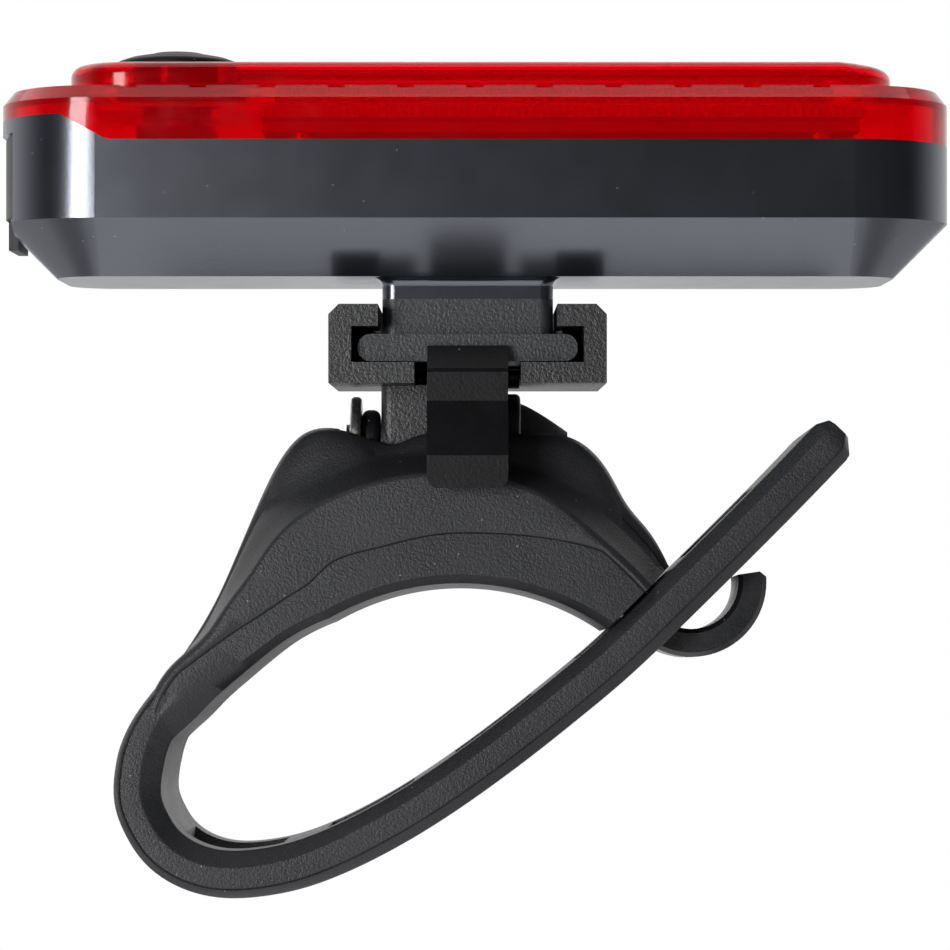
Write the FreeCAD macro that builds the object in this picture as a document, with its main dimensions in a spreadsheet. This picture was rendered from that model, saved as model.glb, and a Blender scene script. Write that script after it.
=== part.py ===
"""Rear bike light on a strap mount.

Millimetres, +Z up.  The seat post runs along Y; the origin is the crown of the saddle that
rests on it.  X runs along the light, -Y is the side of the release latch.
"""
import FreeCAD, Part
import Sketcher
import math
import os
import re

doc = FreeCAD.newDocument("bike_light")
sheet = doc.addObject("Spreadsheet::Sheet", "sizes")

# driving dimensions: alias, value in millimetres (degrees for angles), what it is
SIZES = [
    ("saddle_radius", 20.2, "radius of the arch that rests on the seat post"),
    ("rubber_width", 18.0, "rubber along the seat post"),
    ("case_length", 74.0, "light along X"),
    ("case_width", 24.0, "light along Y"),
    ("case_corner", 8.0, "corner radius seen from the lens side"),
    ("case_bevel", 4.2, "sloped back edge"),
    ("case_wall", 1.5, "wall of the case"),
    ("light_shift", 1.15, "centre of the light from the middle of the saddle"),
    ("back_level", 24.16, "flat back of the case"),
    ("case_depth", 10.2, "flat back to the lens seam"),
    ("step_rise", 2.0, "how far the seam steps up at the left end"),
    ("step_flat", 5.2, "raised part of the seam from the left end"),
    ("step_slope", 3.7, "length of the sloped part of the seam"),
    ("lens_lower", 3.4, "side of the lower tier"),
    ("shoulder_rise", 0.8, "height of the sloped shoulder"),
    ("shoulder_run", 1.0, "width of the sloped shoulder"),
    ("lens_upper", 2.3, "height of the upper tier"),
    ("upper_width", 16.0, "width of the upper tier"),
    ("upper_inset", 5.2, "upper tier from the left end of the lens"),
    ("upper_inset_right", 4.3, "upper tier from the right end of the lens"),
    ("upper_corner", 5.0, "corner radius of the upper tier"),
    ("upper_edge", 0.9, "rounded top edge of the lens"),
    ("lens_wall", 1.6, "wall of the lens"),
    ("lens_ramp", 4.4, "sloped right end of the top face"),
    ("ramp_drop", 0.45, "how far that end drops"),
    ("notch_pitch", 5.3, "notches along the shoulder"),
    ("notch_width", 1.3, "one notch"),
    ("notch_depth", 0.2, "its depth"),
    ("button_place", 13.35, "button from the left end of the light"),
    ("button_diameter", 9.9, "seen part of the button"),
    ("button_rise", 1.48, "button above the lens"),
    ("button_rim", 0.7, "upright rim of the button above the lens"),
    ("button_stem", 5.4, "its stem"),
    ("button_travel", 0.5, "how far it is pressed"),
    ("button_gap", 0.15, "round the button"),
    ("switch_side", 6.0, "press switch, square"),
    ("switch_height", 2.5, "press switch above its board"),
    ("plunger_diameter", 3.4, "moving plunger of the switch"),
    ("plunger_gap", 0.05, "round the plunger"),
    ("control_level", 32.96, "underside of the control board"),
    ("control_board", 0.8, "thickness of the control board"),
    ("board_room", 1.0, "control board to each side of the case"),
    ("led_board", 0.8, "thickness of the LED board"),
    ("led_level", 35.36, "underside of the LED board"),
    ("led_margin", 3.3, "free length of the board beyond the first and the last chip"),
    ("led_pitch", 3.4, "chip to chip"),
    ("led_side", 2.0, "one chip, square"),
    ("led_height", 0.6, "one chip"),
    ("guide_rib", 0.62, "pitch of the ribs on the optic"),
    ("guide_depth", 0.25, "depth of those ribs"),
    ("cell_length", 36.0, "battery cell"),
    ("cell_room", 0.18, "battery cell to each side of the case"),
    ("cell_height", 5.0, "battery cell"),
    ("pad_height", 0.5, "foam pad under the cell"),
    ("wire_diameter", 0.9, "battery wires with their insulation"),
    ("socket_width", 7.5, "charging socket"),
    ("socket_height", 2.6, "charging socket"),
    ("socket_depth", 5.0, "charging socket"),
    ("cover_side", 3.8, "side of the case to the side of the rubber cover"),
    ("cover_height", 6.4, "rubber cover along Z"),
    ("cover_inset", 0.25, "outer face of the cover behind the end of the case"),
    ("finger_recess", 1.1, "how far the end of the case is cut back below the cover"),
    ("cover_depth", 2.2, "rubber cover at its middle"),
    ("cover_gap", 0.12, "round the cover"),
    ("cover_pin", 0.7, "radius of the cover's rolled top edge"),
    ("tab_width", 6.0, "pull tab of the cover"),
    ("tab_height", 2.2, "pull tab below the cover"),
    ("neck_width", 13.3, "neck between the case and the slide plate, along X"),
    ("foot_margin", 0.8, "flat back left between the neck and the sloped edge"),
    ("pedestal_height", 1.7, "moulded foot on the back of the case"),
    ("foot_fillet", 0.7, "hollow rounding where that foot meets the case"),
    ("neck_height", 2.8, "neck below the foot"),
    ("plate_width", 17.0, "slide plate along X"),
    ("plate_length", 16.5, "slide plate along Y"),
    ("plate_height", 2.1, "slide plate"),
    ("plate_gap", 0.25, "slide plate to the stop and to the nib"),
    ("rail_gap", 0.13, "slide plate to the floor"),
    ("rail_shift", 0.58, "centre of the rail from the middle of the saddle"),
    ("rail_width", 21.4, "bracket along X"),
    ("rail_length", 20.0, "bracket along Y"),
    ("rail_wall", 1.75, "side wall of the bracket"),
    ("rail_floor", 1.6, "floor of the bracket"),
    ("lip_width", 2.05, "lip over the slide plate"),
    ("lip_height", 1.7, "thickness of the lip"),
    ("lip_gap", 0.55, "lip above the slide plate"),
    ("tongue_width", 6.2, "release latch"),
    ("tongue_slot", 1.0, "slot on each side of the latch"),
    ("tongue_height", 1.2, "thickness of the latch"),
    ("tongue_root", 3.0, "where the latch bends, along Y"),
    ("root_gap", 0.05, "round the latch's root"),
    ("tab_wall", 1.1, "thickness of the press tab"),
    ("nib_height", 1.5, "nib above the floor"),
    ("nib_length", 1.9, "ramp of the nib"),
    ("ridge_drop", 1.6, "ridge below the floor"),
    ("tab_reach", 1.4, "how far the press tab flares out"),
    ("tab_slope", 4.2, "height of the flared part"),
    ("tab_face", 2.5, "height of the flat press face"),
    ("pivot_level", 11.36, "tilt axis above the saddle's crown"),
    ("rest_tilt", 2.8, "bracket and light as they rest, degrees about the tilt axis"),
    ("screw_diameter", 3.0, "pivot screw"),
    ("screw_gap", 0.05, "round the pivot screw"),
    ("head_diameter", 7.4, "head of the pivot screw"),
    ("head_height", 0.87, "head of the pivot screw"),
    ("crown_diameter", 3.0, "raised middle of that head"),
    ("crown_height", 0.35, "raised middle of that head"),
    ("lug_width", 6.9, "bracket's pivot lug along X"),
    ("lug_left", -6.25, "left face of the lug"),
    ("lug_radius", 3.2, "lug round the pivot"),
    ("ear_gap", 0.1, "lug to each ear"),
    ("left_ear", 1.5, "left ear"),
    ("left_ear_radius", 2.66, "left ear round the pivot"),
    ("right_ear", 3.6, "right ear with the nut pocket"),
    ("right_ear_radius", 3.93, "right ear round the pivot"),
    ("washer_height", 0.4, "friction washer"),
    ("nut_flats", 5.5, "nut across its flats"),
    ("nut_height", 2.4, "nut"),
    ("sleeve_floor", 3.0, "rubber between the saddle's crown and the core"),
    ("core_height", 3.4, "core above that rubber"),
    ("core_width", 10.6, "core along the seat post"),
    ("core_left", 31.0, "core's reach to the left, degrees round the seat post"),
    ("core_right", 33.0, "core's reach to the right, degrees round the seat post"),
    ("pocket_width", 8.4, "pocket for the pivot in the sleeve"),
    ("strap_height", 3.65, "thickness of the strap"),
    ("strap_bevel", 0.9, "width of the strap's sloped edges"),
    ("arch_left", 30.0, "saddle's reach to the left, degrees round the seat post"),
    ("arch_right", 34.0, "saddle's reach to the right, degrees round the seat post"),
    ("boss_start", 3.2, "rubber over the right ear, radius at the ear"),
    ("boss_end", 0.9, "the same at its far end"),
    ("boss_length", 3.7, "its length"),
    ("strap_gap", 0.25, "strap to the saddle's end face"),
    ("slot_pitch", 12.0, "strap slots"),
    ("slot_length", 7.6, "one slot along the strap"),
    ("slot_width", 9.4, "one slot across the strap"),
    ("slot_count", 5, "number of slots"),
    ("strap_inner_bevel", 1.15, "height of the sloped edge on the post's side"),
    ("strap_outer_bevel", 0.7, "height of the sloped edge on the outside"),
    ("tip_bevel", 1.0, "sloped end of the strap"),
    ("hook_from_tip", 16.2, "middle of the hook from the strap's tip"),
    ("hook_start", 125.0, "where the hook leaves the core, degrees before the outward direction"),
    ("hook_bevel", 0.35, "sloped edges of the hook"),
    ("hook_radius", 3.7, "inside radius of the hook"),
    ("hook_height", 2.2, "thickness of the hook"),
    ("hook_width", 8.4, "hook along the seat post"),
    ("hook_tip", 54.0, "hook past the strap's outward direction, degrees"),
]
for row, (alias, amount, note) in enumerate(SIZES, start=1):
    sheet.set(f"A{row}", str(amount))
    sheet.setAlias(f"A{row}", alias)
    sheet.set(f"B{row}", note)
doc.recompute()


def calc(expression):
    """The value of an expression that uses the sheet's aliases."""
    return float(sheet.evalExpression(str(expression)))


def bound(expression):
    """The same expression as an object outside the sheet reads it."""
    return re.sub(r"[a-z][a-z_]*", lambda word: "sizes." + word.group(0), str(expression))


def bind(thing, **expressions):
    """Tie properties of an object to the sheet."""
    for name, expression in expressions.items():
        thing.setExpression(name, bound(expression))


def new_body(name):
    body = doc.addObject("PartDesign::Body", name)
    body.Label = name
    doc.recompute()
    return body


def sketch_on(body, role, name, offset="0"):
    """A sketch on one of the body's own origin planes, moved along its normal."""
    plane = next(part for part in body.Origin.OriginFeatures if part.Role == role)
    sketch = body.newObject("Sketcher::SketchObject", name)
    sketch.AttachmentSupport = [(plane, "")]
    sketch.MapMode = "FlatFace"
    sketch.setExpression("AttachmentOffset.Base.z", bound(offset))
    return sketch


def polygon(sketch, corners):
    """A closed outline whose corners are tied to expressions."""
    points = [FreeCAD.Vector(calc(x), calc(y), 0) for x, y in corners]
    count = len(points)
    for number, point in enumerate(points):
        sketch.addGeometry(Part.LineSegment(point, points[(number + 1) % count]), False)
    for number in range(count):
        following = (number + 1) % count
        sketch.addConstraint(Sketcher.Constraint("Coincident", number, 2, following, 1))
    for number, corner in enumerate(corners):
        for kind, expression in zip(("DistanceX", "DistanceY"), corner):
            made = Sketcher.Constraint(kind, -1, 1, number, 1, calc(expression))
            place = sketch.addConstraint(made)
            sketch.setExpression(f"Constraints[{place}]", bound(expression))


def rectangle(sketch, left, right, near, far, corner=None):
    """A rectangle, with round corners if a radius is given."""
    if corner is None:
        polygon(sketch, [(left, near), (right, near), (right, far), (left, far)])
        return
    ends = [
        (f"{left} + {corner}", near), (f"{right} - ({corner})", near),
        (right, f"{near} + {corner}"), (right, f"{far} - ({corner})"),
        (f"{right} - ({corner})", far), (f"{left} + {corner}", far),
        (left, f"{far} - ({corner})"), (left, f"{near} + {corner}"),
    ]
    points = [FreeCAD.Vector(calc(x), calc(y), 0) for x, y in ends]
    radius = calc(corner)
    for number in range(0, 8, 2):
        sketch.addGeometry(Part.LineSegment(points[number], points[number + 1]), False)
    turns = ((1, 2, -90), (3, 4, 0), (5, 6, 90), (7, 0, 180))
    for first, second, start in turns:
        middle = FreeCAD.Vector(points[first].x if first % 4 == 1 else points[second].x,
                                points[second].y if first % 4 == 1 else points[first].y, 0)
        ring = Part.Circle(middle, FreeCAD.Vector(0, 0, 1), radius)
        arc = Part.ArcOfCircle(ring, math.radians(start), math.radians(start + 90))
        sketch.addGeometry(arc, False)
    for number in range(4):
        following = (number + 1) % 4
        sketch.addConstraint(Sketcher.Constraint("Coincident", number, 2, number + 4, 1))
        sketch.addConstraint(Sketcher.Constraint("Coincident", number + 4, 2, following, 1))
        place = sketch.addConstraint(Sketcher.Constraint("Radius", number + 4, radius))
        sketch.setExpression(f"Constraints[{place}]", bound(corner))
    for number, end in enumerate(ends):
        for kind, expression in zip(("DistanceX", "DistanceY"), end):
            made = Sketcher.Constraint(kind, -1, 1, number // 2, number % 2 + 1, calc(expression))
            place = sketch.addConstraint(made)
            sketch.setExpression(f"Constraints[{place}]", bound(expression))


def circle(sketch, across, up, radius):
    """A circle tied to expressions."""
    centre = FreeCAD.Vector(calc(across), calc(up), 0)
    sketch.addGeometry(Part.Circle(centre, FreeCAD.Vector(0, 0, 1), calc(radius)), False)
    ties = (("DistanceX", across), ("DistanceY", up))
    for kind, expression in ties:
        made = Sketcher.Constraint(kind, -1, 1, 0, 3, calc(expression))
        place = sketch.addConstraint(made)
        sketch.setExpression(f"Constraints[{place}]", bound(expression))
    place = sketch.addConstraint(Sketcher.Constraint("Radius", 0, calc(radius)))
    sketch.setExpression(f"Constraints[{place}]", bound(radius))


def extrude(body, kind, name, sketch, length, both=False, reverse=False):
    """A Pad or Pocket of a sketch; both makes it symmetric about the sketch."""
    feature = body.newObject("PartDesign::" + kind, name)
    feature.Profile = sketch
    feature.setExpression("Length", bound(length))
    if both:
        feature.SideType = "Symmetric"
    feature.Reversed = reverse
    before = body.Shape.Volume if kind == "Pocket" else 0
    doc.recompute()
    if kind == "Pocket" and feature.Shape.Volume > before - 1e-6:
        raise RuntimeError(f"{body.Label}: {name} cuts nothing")
    return feature


def edges_where(shape, test):
    return [f"Edge{number}" for number, edge in enumerate(shape.Edges, 1) if test(edge)]


def level(edge, height):
    """Does this edge lie at one height?"""
    box = edge.BoundBox
    return abs(box.ZMin - height) < 1e-4 and abs(box.ZMax - height) < 1e-4


def along(edge, axis):
    """Is this edge straight along X or Y?"""
    box = edge.BoundBox
    spans = {"x": box.XLength, "y": box.YLength, "z": box.ZLength}
    return spans.pop(axis) > 1e-3 and max(spans.values()) < 1e-4


def dress(body, kind, name, base, names, **expressions):
    """A Fillet or Chamfer on named edges of the last feature."""
    feature = body.newObject("PartDesign::" + kind, name)
    feature.Base = (base, names)
    if "Size2" in expressions:
        feature.ChamferType = "Two distances"
    bind(feature, **expressions)
    doc.recompute()
    if feature.Shape.isNull():
        raise RuntimeError(f"{body.Label}: {name} fails on {names}")
    return feature


def block(body, name, left, right, near, far, low, height, corner=None):
    """A pad of a rectangle from one level upwards."""
    sketch = sketch_on(body, "XY_Plane", name + "_outline", low)
    rectangle(sketch, left, right, near, far, corner)
    return extrude(body, "Pad", name, sketch, height)


def hollow(body, name, left, right, near, far, start, depth, corner=None, upward=False):
    """A pocket of a rectangle from one level down or up."""
    sketch = sketch_on(body, "XY_Plane", name + "_outline", start)
    rectangle(sketch, left, right, near, far, corner)
    return extrude(body, "Pocket", name, sketch, depth, reverse=upward)


def keep_shape(name, shape):
    """A sub-part whose shape is worked out here from the sheet."""
    feature = doc.addObject("Part::Feature", name)
    feature.Label = name
    feature.Shape = shape
    feature.Placement = FreeCAD.Placement()
    return feature


def boolean(kind, name, base, tool):
    feature = doc.addObject("Part::" + kind, name)
    feature.Base = base
    feature.Tool = tool
    feature.Label = name
    doc.recompute()
    return feature


def box(name, left, near, low, length, width, height):
    """A block with every size and place tied to the sheet."""
    thing = doc.addObject("Part::Box", name)
    thing.Label = name
    bind(thing, Length=length, Width=width, Height=height)
    bind(thing, **{"Placement.Base.x": left, "Placement.Base.y": near, "Placement.Base.z": low})
    return thing


def drum(name, radius, height, across, out, low, turn=None):
    """A cylinder standing on a point, upright or turned about an axis."""
    thing = doc.addObject("Part::Cylinder", name)
    thing.Label = name
    bind(thing, Radius=radius, Height=height)
    if turn:
        thing.Placement = FreeCAD.Placement(FreeCAD.Vector(), FreeCAD.Rotation(turn, 90))
    bind(thing, **{"Placement.Base.x": across, "Placement.Base.y": out, "Placement.Base.z": low})
    return thing


def group(name, things):
    """Alike pieces kept together in one node."""
    feature = doc.addObject("Part::Compound", name)
    feature.Links = things
    feature.Label = name
    doc.recompute()
    return feature


# places that several pieces share
case_left = "light_shift - case_length / 2"
case_right = "light_shift + case_length / 2"
case_side = "case_width / 2"
seam_level = "back_level + case_depth"
ledge_width = "0.9"
seal_height = "0.7"
skirt_drop = "0.1"
skirt_gap = "0.1"
skirt_wall = "0.9"
guide_rest = "0.1"
travel_room = "0.2"
cell_shift = "7"
cavity_inset = f"case_wall + {ledge_width}"
cavity_slope = f"(case_bevel - 0.586 * case_wall - {ledge_width})"
board_half = f"({case_side} - ({cavity_inset}) - board_room)"
cell_half = f"({case_side} - ({cavity_inset}) - {cavity_slope} - cell_room)"
cavity_left = f"{case_left} + cover_depth + 1.2"
shoulder_level = f"{seam_level} + lens_lower + shoulder_rise"
lens_top = f"{shoulder_level} + lens_upper"
button_middle = f"{case_left} + button_place"
control_top = "control_level + control_board"
switch_top = f"{control_top} + switch_height"
cover_top = f"{seam_level} + 0.75"
cover_half = "(case_width / 2 - cover_side)"
socket_middle = "control_level - socket_height / 2"
neck_bottom = "back_level - pedestal_height - neck_height"
plate_bottom = f"{neck_bottom} - plate_height"
floor_top = f"{plate_bottom} - rail_gap"
neck_half = "(case_width / 2 - case_bevel - foot_margin)"
screw_place = f"{neck_half} - 2.6"
plate_near = "-rail_length / 2 + 1.5"
ear_face = "lug_left - ear_gap - left_ear"
lug_right = "lug_left + lug_width"
right_face = f"{lug_right} + washer_height + 0.1 + right_ear"
nut_start = f"{right_face} - nut_height"
tongue_middle = f"{floor_top} - rail_floor / 2"
across = FreeCAD.Vector(0, 1, 0)
guide_left = f"{button_middle} + button_diameter / 2 + 2.2"
guide_right = f"{case_right} - upper_inset_right - lens_wall - 1.3"

# route of the strap: degrees round the post from the crown, distance in saddle radii
STRAP_ROUTE = [(-36.6, 1.147), (-47.6, 1.165), (-55.3, 1.206), (-60.8, 1.223), (-65.6, 1.241),
               (-71.9, 1.260), (-77.2, 1.257), (-82.3, 1.237), (-86.3, 1.193), (-89.5, 1.147),
               (-94.2, 1.031), (-96.8, 0.905), (-97.6, 0.775), (-96.9, 0.635), (-93.0, 0.487),
               (-82.9, 0.345), (-57.4, 0.232), (-12.3, 0.225), (17.2, 0.340), (29.7, 0.503),
               (35.7, 0.687), (38.9, 0.875), (41.1, 1.215), (42.3, 1.694), (42.6, 1.956),
               (42.7, 2.153)]
# edges of the sleeve for a saddle of this radius, X and Z: the underside of its left tail, the
# top of its outer flange, the valley at the foot of the ridge and the ridge itself
SLEEVE_RADIUS = 20.2
TAIL_FOOT = [(-23.17, -13.56), (-22.02, -12.3), (-20.63, -10.62), (-19.32, -9.27),
             (-17.53, -7.65), (-15.36, -5.82), (-13.34, -4.3), (-11.3, -3.2)]
FLANGE_EDGE = [(-24.43, -11.31), (-24.03, -9.5), (-23.31, -7.81), (-22.22, -6.32),
               (-20.83, -5.06), (-19.68, -3.98), (-18.76, -2.71), (-17.73, -1.18),
               (-16.19, 0.9), (-14.4, 3.5), (-11.4, 6.0), (-7.5, 7.7), (-3.1, 8.6), (2.0, 8.4),
               (6.0, 7.2), (10.0, 4.4), (14.9, -0.2)]
VALLEY_EDGE = [(-24.43, -11.31), (-24.03, -9.5), (-23.31, -7.81), (-22.22, -6.32),
               (-20.95, -4.9), (-19.9, -3.6), (-19.1, -2.2), (-18.3, -0.6), (-16.8, 2.4),
               (-15.0, 5.3), (-12.0, 7.3), (-8.0, 9.1), (-3.0, 9.9), (2.5, 9.5), (7.0, 8.2),
               (11.2, 5.3), (15.5, 1.0)]
RIDGE_EDGE = [(-24.43, -11.31), (-24.03, -9.5), (-23.31, -7.81), (-22.22, -6.32),
              (-20.95, -4.5), (-19.85, -2.7), (-18.75, -0.6), (-17.66, 1.9), (-16.0, 5.9),
              (-13.8, 10.3), (-12.2, 11.9), (-9.6, 12.25), (-7.4, 11.6), (-5.4, 11.0),
              (-3.2, 11.8), (0.5, 12.0), (5.0, 11.9), (9.0, 11.4), (11.6, 8.9), (13.0, 6.4),
              (14.6, 4.4), (16.3, 1.4)]

# small parts on the control board: along the light from its middle, across, length, width
BOARD_CHIPS = [(-12, -3.0, 4.0, 4.0), (-5, 1.5, 3.0, 2.5), (2, -4.5, 2.0, 1.2),
               (7, 2.0, 2.9, 1.6), (13, -2.5, 3.2, 2.6), (20, 2.4, 1.6, 0.8)]


def seam_ring(name, inset):
    """The top of the case wall, whose upper edge follows the stepped seam."""
    body = new_body(name)
    low = f"{seam_level} - 1.5"
    block(body, "wall", case_left, case_right, f"-{case_side}", case_side, low,
          "step_rise + 1.5", "case_corner")
    hollow(body, "inside", f"{case_left} + {inset}", f"{case_right} - ({inset})",
           f"-({case_side} - ({inset}))", f"{case_side} - ({inset})",
           f"{seam_level} + step_rise", "step_rise + 1.5", f"case_corner - ({inset})")
    sketch = sketch_on(body, "XZ_Plane", "above_seam_outline")
    polygon(sketch, [
        (f"{case_left} + step_flat", f"{seam_level} + step_rise"),
        (f"{case_left} + step_flat + step_slope", seam_level),
        (f"{case_right} + 1", seam_level),
        (f"{case_right} + 1", f"{seam_level} + step_rise + 1"),
        (f"{case_left} + step_flat", f"{seam_level} + step_rise + 1"),
    ])
    extrude(body, "Pocket", "above_seam", sketch, "case_width + 2", both=True)
    return body


def case_cavity():
    """The space inside the case, with bevels that keep the wall even."""
    body = new_body("cavity_space")
    block(body, "space", cavity_left, f"{case_right} - ({cavity_inset})",
          f"-({case_side} - ({cavity_inset}))", f"{case_side} - ({cavity_inset})",
          "back_level + case_wall", "case_depth - case_wall", f"case_corner - ({cavity_inset})")
    floor = calc("back_level + case_wall")
    dress(body, "Chamfer", "cavity_bevel", body.Tip,
          edges_where(body.Shape, lambda e: level(e, floor)),
          Size=cavity_slope)
    return body


def cover_recess():
    """The space for the rubber cover and for the charging socket behind it."""
    low = f"{cover_top} - cover_height - cover_gap"
    recess = box("recess_space", f"{case_left} - 1", f"-{cover_half} - cover_gap", low,
                 "cover_depth + cover_gap + 1", f"2 * ({cover_half} + cover_gap)",
                 "cover_height + cover_gap + 0.1")
    mouth = box("socket_mouth", case_left, "-socket_width / 2 - 0.2",
                f"{socket_middle} - socket_height / 2 - 0.6", "cover_depth + 3",
                "socket_width + 0.4", "socket_height + 0.8")
    finger = box("finger_space", f"{case_left} - 1", f"-{cover_half} - cover_gap",
                 "back_level - 1", "finger_recess + 1", f"2 * ({cover_half} + cover_gap)",
                 f"{cover_top} - back_level")
    return boolean("Fuse", "cover_space", boolean("Fuse", "cover_room", recess, finger), mouth)


def rear_housing():
    """Case with sloped back edges, a foot for the slide plate and a ledge for the seal."""
    body = new_body("case")
    block(body, "outside", case_left, case_right, f"-{case_side}", case_side, "back_level",
          "case_depth", "case_corner")
    back = calc("back_level")
    dress(body, "Chamfer", "bevel", body.Tip,
          edges_where(body.Shape, lambda e: level(e, back)), Size="case_bevel")
    ledge = "case_wall"
    hollow(body, "ledge", f"{case_left} + {ledge}", f"{case_right} - {ledge}",
           f"-({case_side} - {ledge})", f"{case_side} - {ledge}",
           seam_level, f"{seal_height} + {skirt_drop}", f"case_corner - {ledge}")
    block(body, "foot", "rail_shift - neck_width / 2", "rail_shift + neck_width / 2",
          f"-{neck_half}", neck_half, "back_level - pedestal_height",
          "pedestal_height", "1")
    reach = calc("neck_width / 2 + 0.01")
    middle = calc("rail_shift")
    dress(body, "Fillet", "foot_fillet", body.Tip,
          edges_where(body.Shape, lambda e: level(e, back) and e.BoundBox.XMax < middle + reach
                      and e.BoundBox.XMin > middle - reach and e.Length < 2 * reach),
          Radius="foot_fillet")
    for side in ("-", ""):
        name = "near" if side else "far"
        sketch = sketch_on(body, "XY_Plane", name + "_screw_outline",
                           "back_level - pedestal_height")
        circle(sketch, "rail_shift", f"{side}({screw_place})", "0.9")
        extrude(body, "Pocket", name + "_screw_hole", sketch, "pedestal_height + 0.9",
                reverse=True)
    whole = boolean("Fuse", "case_with_seam", body, seam_ring("seam_wall", "case_wall"))
    spaces = boolean("Fuse", "case_spaces", case_cavity(), cover_recess())
    return boolean("Cut", "rear_housing", whole, spaces)



def lens_cover():
    """Two-tiered lens whose lower edge fits the stepped seam; its skirt presses the seal."""
    body = new_body("lens_block")
    low = f"{seam_level} - {skirt_drop}"
    block(body, "lower_tier", case_left, case_right, f"-{case_side}", case_side, low,
          f"lens_lower + shoulder_rise + {skirt_drop}", "case_corner")
    shoulder = calc(shoulder_level)
    dress(body, "Chamfer", "shoulder", body.Tip,
          edges_where(body.Shape, lambda e: level(e, shoulder)),
          Size="shoulder_run", Size2="shoulder_rise")
    upper_left = f"{case_left} + upper_inset"
    upper_right = f"{case_right} - upper_inset_right"
    block(body, "upper_tier", upper_left, upper_right, "-upper_width / 2", "upper_width / 2",
          shoulder_level, "lens_upper", "upper_corner")
    sketch = sketch_on(body, "XZ_Plane", "ramp_outline")
    polygon(sketch, [(f"{upper_right} - lens_ramp", lens_top),
                     (f"{upper_right} + 1", f"{lens_top} - ramp_drop"),
                     (f"{upper_right} + 1", f"{lens_top} + 1"),
                     (f"{upper_right} - lens_ramp", f"{lens_top} + 1")])
    extrude(body, "Pocket", "ramp", sketch, "upper_width + 1", both=True)
    edge_floor = calc(f"{lens_top} - ramp_drop") - 0.01
    dress(body, "Fillet", "top_edge", body.Tip,
          edges_where(body.Shape, lambda e: e.BoundBox.ZMin > edge_floor
                      and not (along(e, "y") and e.CenterOfMass.x < calc(upper_right) - 1
                               and e.CenterOfMass.x > calc("light_shift"))),
          Radius="upper_edge")
    skirt = f"case_wall + {skirt_gap} + {skirt_wall}"
    hollow(body, "lower_inside", f"{case_left} + {skirt}", f"{case_right} - ({skirt})",
           f"-({case_side} - ({skirt}))", f"{case_side} - ({skirt})", low,
           f"lens_lower + {skirt_drop} - 0.4", f"case_corner - ({skirt})", upward=True)
    hollow(body, "upper_inside", f"{upper_left} + lens_wall", f"{upper_right} - lens_wall",
           "-upper_width / 2 + lens_wall", "upper_width / 2 - lens_wall", low,
           f"{lens_top} - lens_wall - ({low})", "upper_corner - lens_wall", upward=True)
    sketch = sketch_on(body, "XY_Plane", "button_outline", lens_top)
    circle(sketch, button_middle, "0", "button_diameter / 2 + button_gap")
    extrude(body, "Pocket", "button_hole", sketch, "lens_wall + 0.1")
    notches = []
    count = int(calc("(case_length - 2 * case_corner) / notch_pitch"))
    for side in (-1, 1):
        near = f"{side} * (case_width / 2 - shoulder_run)"
        for number in range(count + 1):
            start = f"light_shift + notch_pitch * {number - count / 2} - notch_width / 2"
            notches.append(box(f"notch_{len(notches)}", start, f"{near} - 0.6",
                               f"{shoulder_level} - notch_depth", "notch_width", "1.2",
                               "notch_depth + 0.1"))
    room = box("cover_room", f"{case_left} - 1", f"-{cover_half} - 0.3", f"{low} - 2",
               "cover_depth + 1.3", f"2 * {cover_half} + 0.6", f"{cover_top} + 0.3 - ({low}) + 2")
    away = boolean("Fuse", "lens_away", group("notches", notches + [room]),
                   seam_ring("seam_space", f"case_wall + {skirt_gap}"))
    return boolean("Cut", "lens_cover", body, away)


def lens_seal():
    """Flat ring on the ledge of the case."""
    body = new_body("lens_seal")
    low = f"{seam_level} - {seal_height} - {skirt_drop}"
    inset = f"case_wall + {skirt_gap}"
    left = f"{case_left} + cover_depth + 0.3"
    block(body, "ring", left, f"{case_right} - ({inset})",
          f"-({case_side} - ({inset}))", f"{case_side} - ({inset})", low, seal_height,
          f"case_corner - ({inset})")
    inner = "case_wall + 0.85"
    hollow(body, "opening", f"{left} + 0.75", f"{case_right} - ({inner})",
           f"-({case_side} - ({inner}))", f"{case_side} - ({inner})",
           f"{low} + {seal_height}", seal_height, f"case_corner - ({inner})")
    return body


def ribbed_outline(left, right, half, pitch, depth, z):
    """Outline of a bar whose long sides are covered with upright ribs."""
    count = int((right - left) / pitch)
    step = (right - left) / count
    side = []
    for number in range(count):
        side += [(left + number * step, half - depth), (left + (number + 0.5) * step, half)]
    side.append((right, half - depth))
    far = [FreeCAD.Vector(x, y, z) for x, y in side]
    near = [FreeCAD.Vector(x, -y, z) for x, y in reversed(side)]
    return Part.Face(Part.makePolygon(far + near + far[:1]))


def light_guide():
    """Ribbed optic over the chips: a wide foot and a narrow upper bar, hollow underneath."""
    left, right = calc(guide_left), calc(guide_right)
    low = calc(f"led_level + led_board + {guide_rest}")
    wide = calc(f"{case_side} - case_wall - {skirt_gap} - {skirt_wall} - 0.3")
    narrow = calc("upper_width / 2 - lens_wall - 0.3")
    middle = calc(f"{seam_level} + lens_lower - 0.4 - 0.25")
    top = calc(f"{lens_top} - lens_wall - 0.3")
    pitch, depth = calc("guide_rib"), calc("guide_depth")
    foot = ribbed_outline(left, right, wide, pitch, depth, low)
    bar = ribbed_outline(left + 1, right - 2, narrow, pitch, depth, middle - 0.01)
    solid = foot.extrude(FreeCAD.Vector(0, 0, middle - low)).fuse(
        bar.extrude(FreeCAD.Vector(0, 0, top - middle + 0.01)))
    room = Part.makeBox(right - left - 3, calc("led_side + 4"), calc("led_height + 0.5"),
                        FreeCAD.Vector(left + 1.5, -calc("led_side + 4") / 2, low))
    return keep_shape("light_guide", solid.cut(room).removeSplitter())


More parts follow.
